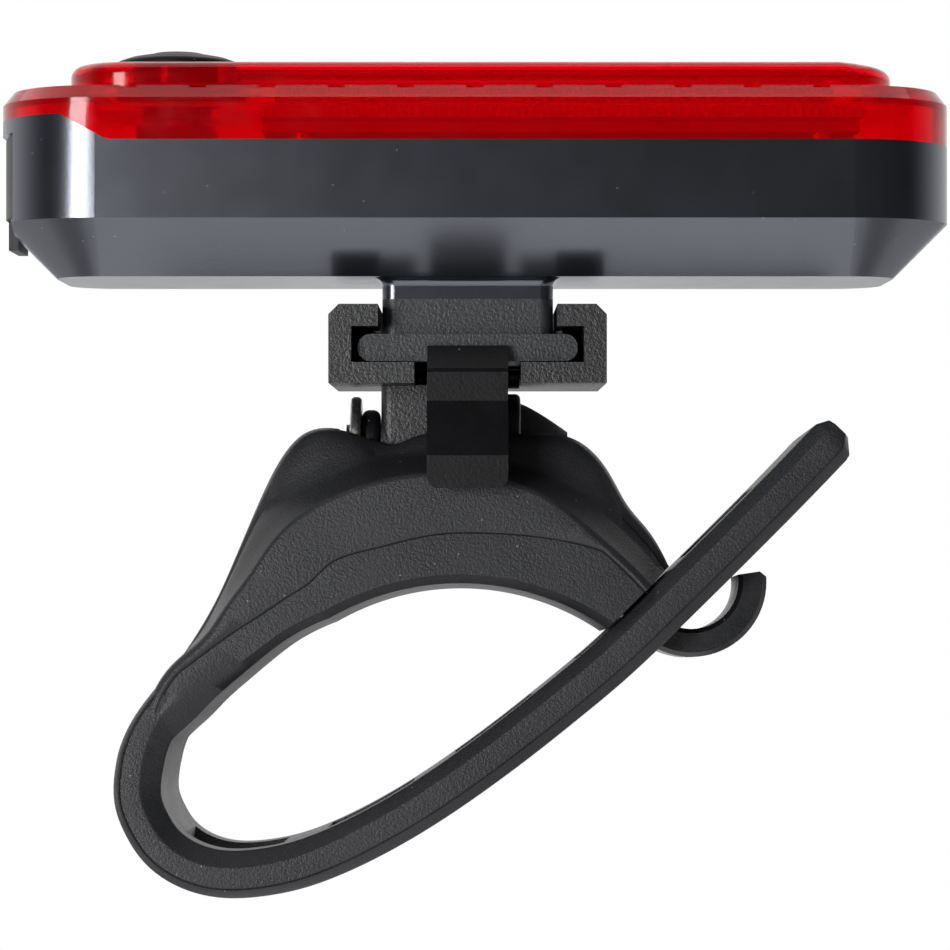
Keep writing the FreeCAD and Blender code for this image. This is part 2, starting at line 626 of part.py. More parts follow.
def led_pieces():
    """The LED board and its row of chips."""
    half = f"({board_half} - 1.6)"
    board = box("led_board", guide_left, f"-{half}", "led_level",
                f"({guide_right}) - ({guide_left})", f"2 * {half}", "led_board")
    room = calc(f"{guide_right} - ({guide_left}) - 2 * led_margin - led_side")
    count = int(room / calc("led_pitch")) + 1
    middle = f"({guide_left} + {guide_right}) / 2"
    chips = [box(f"led_{number}",
                 f"{middle} + led_pitch * {number - (count - 1) / 2} - led_side / 2",
                 "-led_side / 2", "led_level + led_board", "led_side", "led_side", "led_height")
             for number in range(count)]
    return board, group("led_chips", chips)


def control_pieces():
    """Control board, its small parts, the posts that carry the LED board and the socket."""
    board_left = f"{cavity_left} + 0.6"
    board_right = f"{case_right} - ({cavity_inset}) - 1.5"
    board = new_body("control_board")
    block(board, "board", board_left, board_right, f"-{board_half}", board_half,
          "control_level", "control_board", f"case_corner - ({cavity_inset}) - board_room")
    chips = [box(f"board_chip_{number}", f"light_shift + {place}", f"{out}", control_top,
                 f"{length}", f"{width}", "0.9")
             for number, (place, out, length, width) in enumerate(BOARD_CHIPS)]
    posts = [drum(f"post_{number}", "0.9", f"led_level - ({control_top})",
                  place, f"{side}({board_half} - 3.1)", control_top)
             for number, (place, side) in enumerate(
                 (place, side) for place in (f"{guide_left} + 3", f"{guide_right} - 3")
                 for side in ("-", ""))]
    shell = box("socket_shell", f"{cavity_left} + 0.05", "-socket_width / 2",
                "control_level - socket_height", "socket_depth", "socket_width", "socket_height")
    mouth = box("socket_inside", f"{cavity_left} - 0.5", "-socket_width / 2 + 0.35",
                "control_level - socket_height + 0.35", "socket_depth", "socket_width - 0.7",
                "socket_height - 0.7")
    blade = box("socket_blade", f"{cavity_left} + 1", "-socket_width / 2 + 1.6",
                f"{socket_middle} - 0.3", "socket_depth - 1", "socket_width - 3.2", "0.6")
    tube = boolean("Cut", "socket_tube", shell, mouth)
    socket = boolean("Fuse", "usb_socket", tube, blade)
    return board, group("board_chips", chips), group("board_posts", posts), socket


def switch_pieces():
    """Press switch, its plunger and the button with its stem."""
    case = box("switch_block", f"{button_middle} - switch_side / 2", "-switch_side / 2",
               control_top, "switch_side", "switch_side", "switch_height")
    well = drum("switch_well", "plunger_diameter / 2 + plunger_gap", "switch_height",
                button_middle, "0", f"{control_top} + 0.8")
    body = boolean("Cut", "switch_body", case, well)
    plunger = drum("switch_plunger", "plunger_diameter / 2",
                   "switch_height - 0.8 - button_travel - 0.1 + 0.6", button_middle, "0",
                   f"{control_top} + 0.8 + button_travel + 0.1")
    button = new_body("mode_button")
    sketch = sketch_on(button, "XZ_Plane", "button_outline")
    half = "button_diameter / 2"
    stem = "button_stem / 2"
    stem_low = f"{switch_top} + 0.6"
    inner = f"{lens_top} - lens_wall"
    polygon(sketch, [("0", stem_low), (stem, stem_low), (stem, f"{inner} - {travel_room} - 0.6"),
                     (f"{half} + 0.6", f"{inner} - {travel_room} - 0.6"),
                     (f"{half} + 0.6", f"{inner} - 0.05"), (half, f"{inner} - 0.05"),
                     (half, f"{lens_top} + button_rim"),
                     (f"{half} - 1", f"{lens_top} + button_rise - 0.42"),
                     (f"{half} - 2.2", f"{lens_top} + button_rise - 0.18"),
                     ("2.2", f"{lens_top} + button_rise - 0.1"),
                     ("2", f"{lens_top} + button_rise"), ("0", f"{lens_top} + button_rise")])
    turn = button.newObject("PartDesign::Revolution", "button_turn")
    turn.Profile = sketch
    turn.ReferenceAxis = (sketch, ["V_Axis"])
    turn.Angle = 360
    doc.recompute()
    rim = calc(f"{lens_top} + button_rim")
    dress(button, "Fillet", "button_edge", turn,
          edges_where(button.Shape, lambda e: level(e, rim)), Radius="0.35")
    bind(button, **{"Placement.Base.x": button_middle})
    return body, plunger, button


def usb_cover():
    """Rubber flap with a rolled top edge, grip ribs, a plug and a pull tab."""
    low = f"{cover_top} - cover_height"
    face = f"{case_left} + cover_inset"
    body = new_body("cover_block")
    sketch = sketch_on(body, "XZ_Plane", "cover_outline")
    rectangle(sketch, face, f"{case_left} + cover_depth", low, cover_top)
    pad = extrude(body, "Pad", "cover_pad", sketch, f"2 * {cover_half}", both=True)
    top, front = calc(cover_top), calc(face)
    dress(body, "Fillet", "cover_roll", pad,
          edges_where(pad.Shape, lambda e: along(e, "y") and abs(e.CenterOfMass.z - top) < 0.01
                      and abs(e.CenterOfMass.x - front) < 0.01), Radius="cover_pin - 0.01")
    outline = new_body("cover_limit")
    block(outline, "limit", face, case_right, f"-{case_side}", case_side, f"{low} - 1",
          "cover_height + 2", "case_corner")
    flap = boolean("Common", "cover_flap", body, outline)
    extras = [box("pull_tab", face, "-tab_width / 2", f"{low} - tab_height",
                  "finger_recess - cover_inset - 0.1", "tab_width", "tab_height + 0.5"),
              box("cover_plug", f"{case_left} + cover_depth", "-socket_width / 2 + 0.6",
                  f"{socket_middle} - 0.8", "1.1", "socket_width - 1.2", "1.6")]
    for number in range(3):
        extras.append(box(f"grip_{number}", f"{face} - 0.25", "-2.6",
                          f"{low} + 0.9 + {1.3 * number}", "0.6", "5.2", "0.5"))
    return boolean("Fuse", "usb_cover", flap, group("cover_extras", extras))


def battery_pieces():
    """Flat cell on its foam pad and the two wires up to the control board."""
    cell = new_body("battery_cell")
    cell_left = f"light_shift + {cell_shift} - cell_length / 2"
    cell_low = "back_level + case_wall + pad_height"
    block(cell, "cell", cell_left, f"{cell_left} + cell_length", f"-{cell_half}",
          cell_half, cell_low, "cell_height", "1")
    pad = box("battery_pad", f"{cell_left} + 1", f"1 - {cell_half}", "back_level + case_wall",
              "cell_length - 2", f"2 * {cell_half} - 2", "pad_height")
    pieces = [cell, pad]
    start_x, rise = calc(cell_left), calc("control_level")
    start_z = calc(f"{cell_low} + cell_height / 2")
    for name, out in (("wire_positive", 2.0), ("wire_negative", -2.0)):
        bend = 1.6
        first = FreeCAD.Vector(start_x, out, start_z)
        turn = first + FreeCAD.Vector(-1.2, 0, 0)
        end_turn = turn + FreeCAD.Vector(-bend, 0, bend)
        middle = turn + FreeCAD.Vector(-bend * math.sin(math.pi / 4), 0,
                                       bend * (1 - math.cos(math.pi / 4)))
        last = FreeCAD.Vector(end_turn.x, out, rise)
        route = Part.Wire([Part.makeLine(first, turn), Part.Arc(turn, middle, end_turn).toShape(),
                           Part.makeLine(end_turn, last)])
        ring = Part.Wire(Part.makeCircle(calc("wire_diameter / 2"), first,
                                         FreeCAD.Vector(-1, 0, 0)))
        pieces.append(keep_shape(name, route.makePipeShell([ring], True, False)))
    return pieces


def slide_plate():
    """Neck and plate that slide in the bracket, with two screws up into the case."""
    body = new_body("slide_plate")
    neck = "neck_width / 2"
    block(body, "neck", f"rail_shift - {neck}", f"rail_shift + {neck}", f"-{neck_half}",
          neck_half, neck_bottom, "neck_height", "1")
    half = "plate_width / 2"
    block(body, "plate", f"rail_shift - {half}", f"rail_shift + {half}", plate_near,
          f"{plate_near} + plate_length", plate_bottom, "plate_height")
    sides = (calc(f"rail_shift - {half}"), calc(f"rail_shift + {half}"))
    dress(body, "Fillet", "plate_edges", body.Tip,
          edges_where(body.Shape, lambda e: along(e, "y")
                      and min(abs(e.CenterOfMass.x - side) for side in sides) < 0.01),
          Radius="plate_height * 0.47")
    for side in (-1, 1):
        middle = f"rail_shift + {side} * (plate_width / 2 - 1.5)"
        block(body, "rib_left" if side < 0 else "rib_right", f"{middle} - 0.4",
              f"{middle} + 0.4", f"{plate_near} + 3", f"{plate_near} + plate_length - 1",
              f"{neck_bottom} - 0.2", "lip_gap + 0.2 - 0.15")
    for side in ("-", ""):
        name = "near" if side else "far"
        for step, radius, depth in (("hole", "1.1", "plate_height + neck_height + 1"),
                                    ("seat", "2.1", "1.5")):
            sketch = sketch_on(body, "XY_Plane", f"{name}_{step}_outline", plate_bottom)
            circle(sketch, "rail_shift", f"{side}({screw_place})", radius)
            extrude(body, "Pocket", f"{name}_{step}", sketch, depth, reverse=True)
    screws = []
    for side in ("-", ""):
        place = ("rail_shift", f"{side}({screw_place})")
        name = "near" if side else "far"
        head = drum(f"{name}_screw_head", "1.9", "1.3", *place, f"{plate_bottom} + 0.2")
        shank = drum(f"{name}_screw_shank", "0.9",
                     "plate_height + neck_height + pedestal_height - 0.4", *place,
                     f"{plate_bottom} + 0.5")
        screws.append(boolean("Fuse", f"{name}_plate_screw", head, shank))
    return body, group("plate_screws", screws)


def slide_bracket():
    """Rail with two lips, an end stop, the slot for the latch and the pivot lug."""
    body = new_body("rail")
    half = "rail_width / 2"
    low = f"{floor_top} - rail_floor"
    top = f"{neck_bottom} + lip_gap + lip_height"
    left, right = f"rail_shift - {half}", f"rail_shift + {half}"
    sketch = sketch_on(body, "XZ_Plane", "rail_outline")
    polygon(sketch, [
        (left, low), (right, low), (right, f"{top} - 0.8"), (f"{right} - 0.8", top),
        (f"{right} - rail_wall - lip_width", top),
        (f"{right} - rail_wall - lip_width", f"{top} - lip_height"),
        (f"{right} - rail_wall", f"{top} - lip_height"), (f"{right} - rail_wall", floor_top),
        (f"{left} + rail_wall", floor_top), (f"{left} + rail_wall", f"{top} - lip_height"),
        (f"{left} + rail_wall + lip_width", f"{top} - lip_height"),
        (f"{left} + rail_wall + lip_width", top), (f"{left} + 0.8", top),
        (left, f"{top} - 0.8"),
    ])
    extrude(body, "Pad", "channel", sketch, "rail_length", both=True)
    block(body, "end_stop", f"{left} + 0.5", f"{right} - 0.5",
          f"{plate_near} + plate_length + plate_gap", "rail_length / 2", low,
          f"{top} - lip_height - ({low}) + 0.2")
    hollow(body, "latch_slot", f"rail_shift - tongue_width / 2 - tongue_slot",
           f"rail_shift + tongue_width / 2 + tongue_slot", "-rail_length / 2 - 1",
           "tongue_root", floor_top, "rail_floor + 1")
    block(body, "lug", "lug_left", "lug_left + lug_width", "-lug_radius", "lug_radius",
          "pivot_level", f"{low} - pivot_level + 0.1", "0.8")
    knuckle = drum("lug_round", "lug_radius", "lug_width", "lug_left", "0", "pivot_level", across)
    hole = drum("lug_hole", "screw_diameter / 2 + screw_gap", "lug_width + 2", "lug_left - 1",
                "0", "pivot_level", across)
    notch = drum("latch_notch", "tongue_height / 2 + root_gap", "tongue_width + 2 * tongue_slot",
                 "rail_shift - tongue_width / 2 - tongue_slot", "tongue_root", tongue_middle,
                 across)
    whole = boolean("Fuse", "rail_with_lug", body, knuckle)
    return boolean("Cut", "slide_bracket", whole, boolean("Fuse", "bracket_holes", hole, notch))


def release_latch():
    """Springy tongue: round root, nib in front of the slide plate, ridge and press tab."""
    body = new_body("tongue")
    top = f"{tongue_middle} + tongue_height / 2"
    low = f"{tongue_middle} - tongue_height / 2"
    nib = f"{plate_near} - plate_gap"
    front = f"{nib} - nib_length - 0.5"
    ridge_low = f"{low} - ridge_drop"
    out = f"{front} - tab_reach"
    sketch = sketch_on(body, "YZ_Plane", "tongue_outline")
    polygon(sketch, [
        ("tongue_root", low), ("tongue_root", top), (nib, top), (nib, f"{top} + nib_height"),
        (f"{nib} - 0.5", f"{top} + nib_height"), (f"{nib} - nib_length", f"{top} - 0.3"),
        (front, f"{top} - 0.6"), (front, ridge_low), (out, f"{ridge_low} - tab_slope"),
        (out, f"{ridge_low} - tab_slope - tab_face"),
        (f"{out} + tab_wall", f"{ridge_low} - tab_slope - tab_face"),
        (f"{out} + tab_wall", f"{ridge_low} - tab_slope + 0.3"),
        (f"{front} + tab_wall", f"{ridge_low} + 0.3"), (f"{front} + tab_wall + 0.9", low),
    ])
    extrude(body, "Pad", "tongue_pad", sketch, "tongue_width", both=True)
    bottom = calc(f"{ridge_low} - tab_slope - tab_face")
    dress(body, "Fillet", "tab_corners", body.Tip,
          edges_where(body.Shape, lambda e: along(e, "y") and abs(e.CenterOfMass.z - bottom) < 0.01),
          Radius="0.9")
    bind(body, **{"Placement.Base.x": "rail_shift"})
    root = drum("tongue_knuckle", "tongue_height / 2", "tongue_width",
                "rail_shift - tongue_width / 2", "tongue_root", tongue_middle, across)
    return boolean("Fuse", "release_latch", body, root)


def hexagon(name, flats, height, start, middle_out, low):
    """A six-sided prism along X."""
    prism = doc.addObject("Part::Prism", name)
    prism.Polygon = 6
    prism.Placement = FreeCAD.Placement(FreeCAD.Vector(), FreeCAD.Rotation(across, 90))
    bind(prism, Circumradius=f"({flats}) / 1.7320508", Height=height)
    bind(prism, **{"Placement.Base.x": start, "Placement.Base.y": middle_out,
                   "Placement.Base.z": low})
    prism.Label = name
    return prism


def pivot_pieces():
    """Screw with a low crowned head, friction washer and nut on the tilt axis."""
    place = ("0", "pivot_level")
    head = drum("screw_disc", "head_diameter / 2", "head_height", f"{ear_face} - head_height",
                *place, across)
    crown = drum("screw_crown", "crown_diameter / 2", "crown_height + 0.1",
                 f"{ear_face} - head_height - crown_height", *place, across)
    shank = drum("screw_shank", "screw_diameter / 2", f"{right_face} + 0.2 - ({ear_face})",
                 ear_face, *place, across)
    key = hexagon("screw_key", "1.8", "crown_height + 0.6",
                  f"{ear_face} - head_height - crown_height", *place)
    doc.recompute()
    rounded = doc.addObject("Part::Fillet", "screw_head")
    rounded.Base = head
    rounded.Edges = [(number, 0.35, 0.35) for number, edge in enumerate(head.Shape.Edges, 1)
                     if isinstance(edge.Curve, Part.Circle)]
    top = boolean("Fuse", "screw_top", rounded, crown)
    screw = boolean("Cut", "pivot_screw", boolean("Fuse", "screw_solid", top, shank), key)
    ring = drum("washer_disc", "lug_radius - 0.2", "washer_height", f"{lug_right} + 0.05",
                *place, across)
    bore = drum("washer_bore", "screw_diameter / 2 + screw_gap", "washer_height + 2",
                f"{lug_right} - 1", *place, across)
    washer = boolean("Cut", "pivot_washer", ring, bore)
    block_of_nut = hexagon("nut_block", "nut_flats", "nut_height", nut_start, *place)
    thread = drum("nut_bore", "screw_diameter / 2", "nut_height + 2", f"{nut_start} - 1", *place,
                  across)
    return screw, washer, boolean("Cut", "pivot_nut", block_of_nut, thread)


def strap_curve():
    """Middle line of the strap from inside the saddle round to its tip."""
    radius = calc("saddle_radius")
    points = []
    for degrees, reach in STRAP_ROUTE:
        angle = math.radians(degrees)
        points.append(FreeCAD.Vector(radius * reach * math.sin(angle), 0,
                                     radius * (reach * math.cos(angle) - 1)))
    curve = Part.BSplineCurve()
    curve.interpolate(points)
    return curve


def strap_frame(curve, from_tip):
    """Point, direction towards the tip and outward direction, a length back from the tip."""
    length = curve.length()
    where = curve.parameterAtDistance(length - from_tip, curve.FirstParameter)
    point = curve.value(where)
    forward = curve.tangent(where)[0].normalize()
    outward = FreeCAD.Vector(forward.z, 0, -forward.x)
    return point, forward, outward


def strap_slab(frame, forward_from, forward_to, out_from, out_to, width):
    """A block that follows the strap's own directions."""
    point, forward, outward = frame
    slab = Part.makeBox(forward_to - forward_from, width, out_to - out_from)
    slab.translate(FreeCAD.Vector(forward_from, -width / 2, out_from))
    matrix = FreeCAD.Matrix(forward.x, 0, outward.x, point.x, 0, 1, 0, 0,
                            forward.z, 0, outward.z, point.z, 0, 0, 0, 1)
    return slab.transformGeometry(matrix) if matrix.determinant() < 0 else slab.transformShape(matrix)


def hook_solid(curve):
    """J-shaped hook that comes out through a slot of the strap and turns towards its tip."""
    point, forward, outward = strap_frame(curve, calc("hook_from_tip"))
    inner, height, width = calc("hook_radius"), calc("hook_height"), calc("hook_width")
    start, end = math.radians(-calc("hook_start")), math.radians(calc("hook_tip"))

    def spot(radius, angle):
        return (point + forward * (radius * math.sin(angle)) + outward * (radius * math.cos(angle))
                - FreeCAD.Vector(0, width / 2, 0))

    outer = inner + height
    middle = (start + end) / 2
    edges = [
        Part.Arc(spot(outer, start), spot(outer, middle), spot(outer, end - 0.08)).toShape(),
        Part.makeLine(spot(outer, end - 0.08), spot(outer - 0.5, end)),
        Part.makeLine(spot(outer - 0.5, end), spot(inner, end)),
        Part.Arc(spot(inner, end), spot(inner, middle), spot(inner, start)).toShape(),
        Part.makeLine(spot(inner, start), spot(outer, start)),
    ]
    hook = Part.Face(Part.Wire(edges)).extrude(FreeCAD.Vector(0, width, 0))
    rims = [e for e in hook.Edges if isinstance(e.Curve, Part.Circle)]
    return hook.makeChamfer(calc("hook_bevel"), rims)


def hook_root(curve):
    """The bar that ties the start of the hook to the end of the core's arch."""
    point, forward, outward = strap_frame(curve, calc("hook_from_tip"))
    half, width = calc("hook_height / 2"), calc("hook_width")
    start, turn = math.radians(-calc("hook_start")), math.radians(calc("core_right") - 4)
    reach = calc("hook_radius") + half
    first = point + forward * (reach * math.sin(start)) + outward * (reach * math.cos(start))
    reach = calc("saddle_radius + sleeve_floor + core_height / 2")
    last = FreeCAD.Vector(reach * math.sin(turn), 0,
                          reach * math.cos(turn) - calc("saddle_radius"))
    line = (last - first).normalize()
    aside = FreeCAD.Vector(line.z, 0, -line.x) * half
    down = FreeCAD.Vector(0, -width / 2, 0)
    corners = [first + aside + down, last + aside + down, last - aside + down,
               first - aside + down]
    bar = Part.Face(Part.makePolygon(corners + corners[:1])).extrude(FreeCAD.Vector(0, width, 0))
    ends = [Part.makeCylinder(half, width, end + down, FreeCAD.Vector(0, 1, 0))
            for end in (first, last)]
    return bar.fuse(ends)


def arch_piece(radius, height, left, right, width):
    """A piece of ring round the seat post between two angles from its crown."""
    post = FreeCAD.Vector(0, -width / 2, -calc("saddle_radius"))
    outer = Part.makeCylinder(radius + height, width, post, FreeCAD.Vector(0, 1, 0))
    inner = Part.makeCylinder(radius, width, post, FreeCAD.Vector(0, 1, 0))
    reach = 3 * (radius + height)
    corners = [post]
    for degrees in (-left, (right - left) / 2, right):
        angle = math.radians(degrees)
        corners.append(post + FreeCAD.Vector(reach * math.sin(angle), 0, reach * math.cos(angle)))
    wedge = Part.Face(Part.makePolygon(corners + corners[:1]))
    return outer.cut(inner).common(wedge.extrude(FreeCAD.Vector(0, width, 0)))


def ear(left, width, radius, low, edge):
    """An upright ear with a round end on the tilt axis."""
    level_of_axis = calc("pivot_level")
    foot = Part.makeBox(width, 2 * radius, level_of_axis - low, FreeCAD.Vector(left, -radius, low))
    end = Part.makeCylinder(radius, width, FreeCAD.Vector(left, 0, level_of_axis),
                            FreeCAD.Vector(1, 0, 0))
    whole = foot.fuse(end).removeSplitter()
    rims = [e for e in whole.Edges if isinstance(e.Curve, Part.Circle)]
    return whole.makeFillet(edge, rims)


def saddle_base(curve):
    """Hard core: arch, two ears and the hook; the nut sits in the right ear."""
    radius = calc("saddle_radius + sleeve_floor")
    arch = arch_piece(radius, calc("core_height"), calc("core_left"), calc("core_right"),
                      calc("core_width"))
    low = calc("sleeve_floor + core_height") - 1.6
    left = ear(calc(ear_face), calc("left_ear"), calc("left_ear_radius"), low, 0.6)
    right = ear(calc(f"{lug_right} + washer_height + 0.1"), calc("right_ear"),
                calc("right_ear_radius"), low, 0.4)
    core = arch.fuse([left, right, hook_solid(curve), hook_root(curve)])
    bore = Part.makeCylinder(calc("screw_diameter / 2 + screw_gap"), 40,
                             FreeCAD.Vector(-20, 0, calc("pivot_level")),
                             FreeCAD.Vector(1, 0, 0))
    nut_room = doc.getObject("nut_block").Shape.copy()
    return keep_shape("saddle_base", core.cut([bore, nut_room]).removeSplitter())


def sleeve_outline(top_points, out):
    """Upright outline of the sleeve at one place along the seat post."""
    radius = calc("saddle_radius")
    left, right = math.radians(-calc("arch_left")), math.radians(calc("arch_right"))
    post = FreeCAD.Vector(0, out, -radius)

    def arch(angle):
        return post + FreeCAD.Vector(radius * math.sin(angle), 0, radius * math.cos(angle))

    points = [FreeCAD.Vector(x, out, z) for x, z in top_points]
    top = Part.BSplineCurve()
    top.interpolate(points)
    scale = radius / SLEEVE_RADIUS
    tail = [FreeCAD.Vector(x * scale, out, z * scale) for x, z in TAIL_FOOT] + [arch(left)]
    foot = Part.BSplineCurve()
    foot.interpolate(tail)
    edges = [Part.Arc(arch(left), arch((left + right) / 2), arch(right)).toShape(),
             Part.makeLine(arch(right), points[-1]), top.toShape(),
             Part.makeLine(points[0], tail[0]), foot.toShape()]
    return Part.Wire(Part.__sortEdges__(edges))


def strap_section(frame, extra=0):
    """Bevelled cross-section of the strap, square to its route."""
    point, forward, outward = frame
    half, side = calc("strap_height / 2") + extra, calc("rubber_width / 2") + extra
    inner, outer = calc("strap_inner_bevel"), calc("strap_outer_bevel")
    depth = calc("strap_bevel")
    outline = [(-side, half - outer), (depth - side, half), (side - depth, half),
               (side, half - outer), (side, inner - half), (side - depth, -half),
               (depth - side, -half), (-side, inner - half)]
    corners = [point + FreeCAD.Vector(0, across_strap, 0) + outward * out
               for across_strap, out in outline]
    return Part.makePolygon(corners + corners[:1])


def strap_band(curve):
    """The strap alone, with its row of slots and its bevelled tip."""
    route = Part.Wire(curve.toShape())
    sweep = Part.BRepOffsetAPI.MakePipeShell(route)
    sweep.setBiNormalMode(FreeCAD.Vector(0, 1, 0))
    sweep.add(strap_section(strap_frame(curve, curve.length())))
    sweep.build()
    sweep.makeSolid()
    band = sweep.shape()
    tip = strap_frame(curve, 0)[0]
    reach = calc("strap_height")
    ends = [e for e in band.Edges if along(e, "y") and e.CenterOfMass.distanceToPoint(tip) < reach]
    band = band.makeChamfer(calc("tip_bevel"), ends)
    pitch, half = calc("slot_pitch"), calc("slot_length / 2")
    first = calc("hook_from_tip + hook_radius - 0.4") + half
    slots = []
    for number in range(-1, int(calc("slot_count")) - 1):
        frame = strap_frame(curve, first + pitch * number)
        slots.append(strap_slab(frame, -half, half, -reach, reach, calc("slot_width")))
    return band.cut(slots)


def rubber_strap(curve, core, pivots):
    """Sleeve over the core and ladder strap, moulded in one."""
    side = calc("rubber_width / 2")
    scale = calc("saddle_radius") / SLEEVE_RADIUS
    near = [(x * scale, z * scale) for x, z in FLANGE_EDGE]
    valley = [(x * scale, z * scale) for x, z in VALLEY_EDGE]
    ridge = [(x * scale, z * scale) for x, z in RIDGE_EDGE]
    valley_out = calc("pocket_width / 2") + 1.5
    wires = [sleeve_outline(points, out) for points, out in
             ((near, -side), (valley, -valley_out), (valley, valley_out), (near, side))]
    flange = Part.makeLoft(wires, True, True)
    ridge_out = valley_out - 0.2
    hump = Part.Face(sleeve_outline(ridge, -ridge_out)).extrude(
        FreeCAD.Vector(0, 2 * ridge_out, 0))
    rims = [e for e in hump.Edges if isinstance(e.Curve, Part.BSplineCurve)
            and e.Length > calc("saddle_radius")]
    hump = hump.makeFillet(1.2, rims)
    axis = calc("pivot_level")
    boss = Part.makeCone(calc("boss_start"), calc("boss_end"), calc("boss_length"),
                         FreeCAD.Vector(calc(right_face), 0, axis), FreeCAD.Vector(1, 0, 0))
    half = calc("strap_height / 2 + strap_gap")
    clear = strap_slab(strap_frame(curve, calc("hook_from_tip")), -12, 12, -half, 20,
                       2 * side + 2)
    left = calc(f"{ear_face} - head_height - crown_height") - 0.4
    width = calc("pocket_width")
    pocket = Part.makeBox(calc(right_face) - left, width, 20,
                          FreeCAD.Vector(left, -width / 2, calc("sleeve_floor + core_height") - 2.5))
    sleeve = flange.fuse([hump, boss]).cut([clear, pocket])
    whole = sleeve.fuse(strap_band(curve)).cut([core] + pivots)
    return keep_shape("rubber_strap", whole.removeSplitter())


def turned(piece, placement):
    """The piece as a whole at its resting tilt; its own place stays bound to the sheet."""
    name = piece.Label
    piece.Label = f"{name}_level"
    whole = doc.addObject("Part::Compound", f"{name}_at_rest")
    whole.Links = [piece]
    whole.Placement = placement
    whole.Label = name
    return whole


housing = rear_housing()
lens = lens_cover()
seal = lens_seal()
guide = light_guide()
led_board, led_chips = led_pieces()
control = control_pieces()
switch = switch_pieces()
cover = usb_cover()
battery = battery_pieces()
plate = slide_plate()
bracket = slide_bracket()
latch = release_latch()
pivot = pivot_pieces()
doc.recompute()
route = strap_curve()
base = saddle_base(route)
rubber = rubber_strap(route, base.Shape, [piece.Shape for piece in pivot])
doc.recompute()
pieces = [housing, lens, seal, guide, led_board, led_chips, *control, *switch, cover, *battery,
          *plate, bracket, latch, *pivot, base, rubber]
resting = FreeCAD.Placement(FreeCAD.Vector(), FreeCAD.Rotation(FreeCAD.Vector(1, 0, 0),
                                                               calc("rest_tilt")),
                            FreeCAD.Vector(0, 0, calc("pivot_level")))
for number, piece in enumerate(pieces):
    if piece not in (*pivot, base, rubber):
        pieces[number] = turned(piece, resting)
doc.recompute()
for thing in doc.Objects:
    if "Invalid" in thing.State or "Error" in thing.State:
        raise RuntimeError(f"{thing.Label} failed")
for piece in pieces:
    shape = piece.Shape
    if shape.isNull() or not shape.isValid() or not shape.Solids:
        raise RuntimeError(f"{piece.Label} has no valid shape")
os.makedirs("parts", exist_ok=True)
for piece in pieces:
    piece.Shape.exportStep(f"parts/{piece.Label}.step")
    box_of = piece.Shape.BoundBox
    print(f"{piece.Label}: {len(piece.Shape.Solids)} solid, {piece.Shape.Volume:.1f} mm3,"
          f" X {box_of.XMin:.2f} {box_of.XMax:.2f} Y {box_of.YMin:.2f} {box_of.YMax:.2f}"
          f" Z {box_of.ZMin:.2f} {box_of.ZMax:.2f}")
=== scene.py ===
import math
import bmesh
import bpy
import numpy as np
from mathutils import Matrix, Vector


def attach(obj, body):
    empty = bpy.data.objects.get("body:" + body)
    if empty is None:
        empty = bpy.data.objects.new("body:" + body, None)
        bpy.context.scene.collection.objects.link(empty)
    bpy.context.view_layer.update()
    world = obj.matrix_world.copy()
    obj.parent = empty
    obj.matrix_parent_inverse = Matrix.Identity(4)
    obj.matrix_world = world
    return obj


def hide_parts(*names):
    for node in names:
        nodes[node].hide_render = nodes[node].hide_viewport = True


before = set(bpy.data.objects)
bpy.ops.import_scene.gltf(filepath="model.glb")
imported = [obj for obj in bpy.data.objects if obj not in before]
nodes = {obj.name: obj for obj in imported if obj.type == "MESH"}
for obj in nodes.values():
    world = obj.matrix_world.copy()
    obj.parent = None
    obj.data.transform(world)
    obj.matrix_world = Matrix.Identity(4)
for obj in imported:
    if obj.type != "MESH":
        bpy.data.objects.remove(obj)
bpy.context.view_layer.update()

print("stage: frame loaded")

mm = 0.001  # one millimetre in metres


# empty node material with its shader
def newMaterial(name):
    mat = bpy.data.materials.new(name)
    mat.use_nodes = True
    tree = mat.node_tree
    tree.nodes.clear()
    out = tree.nodes.new("ShaderNodeOutputMaterial")
    shader = tree.nodes.new("ShaderNodeBsdfPrincipled")
    tree.links.new(shader.outputs[0], out.inputs[0])
    return mat, tree, shader, out


# one node, its values set by socket or property name and its links by socket
def addNode(tree, kind, links=None, **values):
    node = tree.nodes.new(kind)
    for key, value in values.items():
        if key in node.inputs:
            node.inputs[key].default_value = value
        else:
            setattr(node, key, value)
    for key, source in (links or {}).items():
        tree.links.new(source, node.inputs[key])
    return node


# noise with features of about size millimetres
def noiseField(tree, coords, size, detail=3.0, rough=0.55):
    node = addNode(tree, "ShaderNodeTexNoise", {"Vector": coords}, Scale=1 / (size * mm),
                   Detail=detail, Roughness=rough)
    return node.outputs["Fac"]


# source stretched to run from low to high
def remap(tree, source, low, high, fromLow=0.3, fromHigh=0.7):
    node = addNode(tree, "ShaderNodeMapRange", {"Value": source})
    for key, value in (("From Min", fromLow), ("From Max", fromHigh), ("To Min", low),
                       ("To Max", high)):
        node.inputs[key].default_value = value
    return node.outputs["Result"]


# two fixed colours or sources mixed by a factor
def mixColour(tree, factor, first, second):
    node = addNode(tree, "ShaderNodeMix", data_type="RGBA")
    tree.links.new(factor, node.inputs[0])
    for index, value in ((6, first), (7, second)):  # the node's two colour sockets
        if isinstance(value, tuple):
            node.inputs[index].default_value = (*value, 1)
        else:
            tree.links.new(value, node.inputs[index])
    return node.outputs[2]


print("stage: material tools")

# lens and optic, sizes in millimetres
lensLook = {
    "colour": (1.0, 0.0, 0.01), "transmission": 0.76, "ior": 1.49, "rough": 0.06,
    "smear": 0.12, "smearSize": 3.0,                      # roughness added by finger marks
    "wave": 0.12, "waveSize": 2.2, "waveDepth": 0.05,
}
opticLook = dict(lensLook, colour=(0.95, 0.95, 0.95), transmission=0.3, rough=0.12)


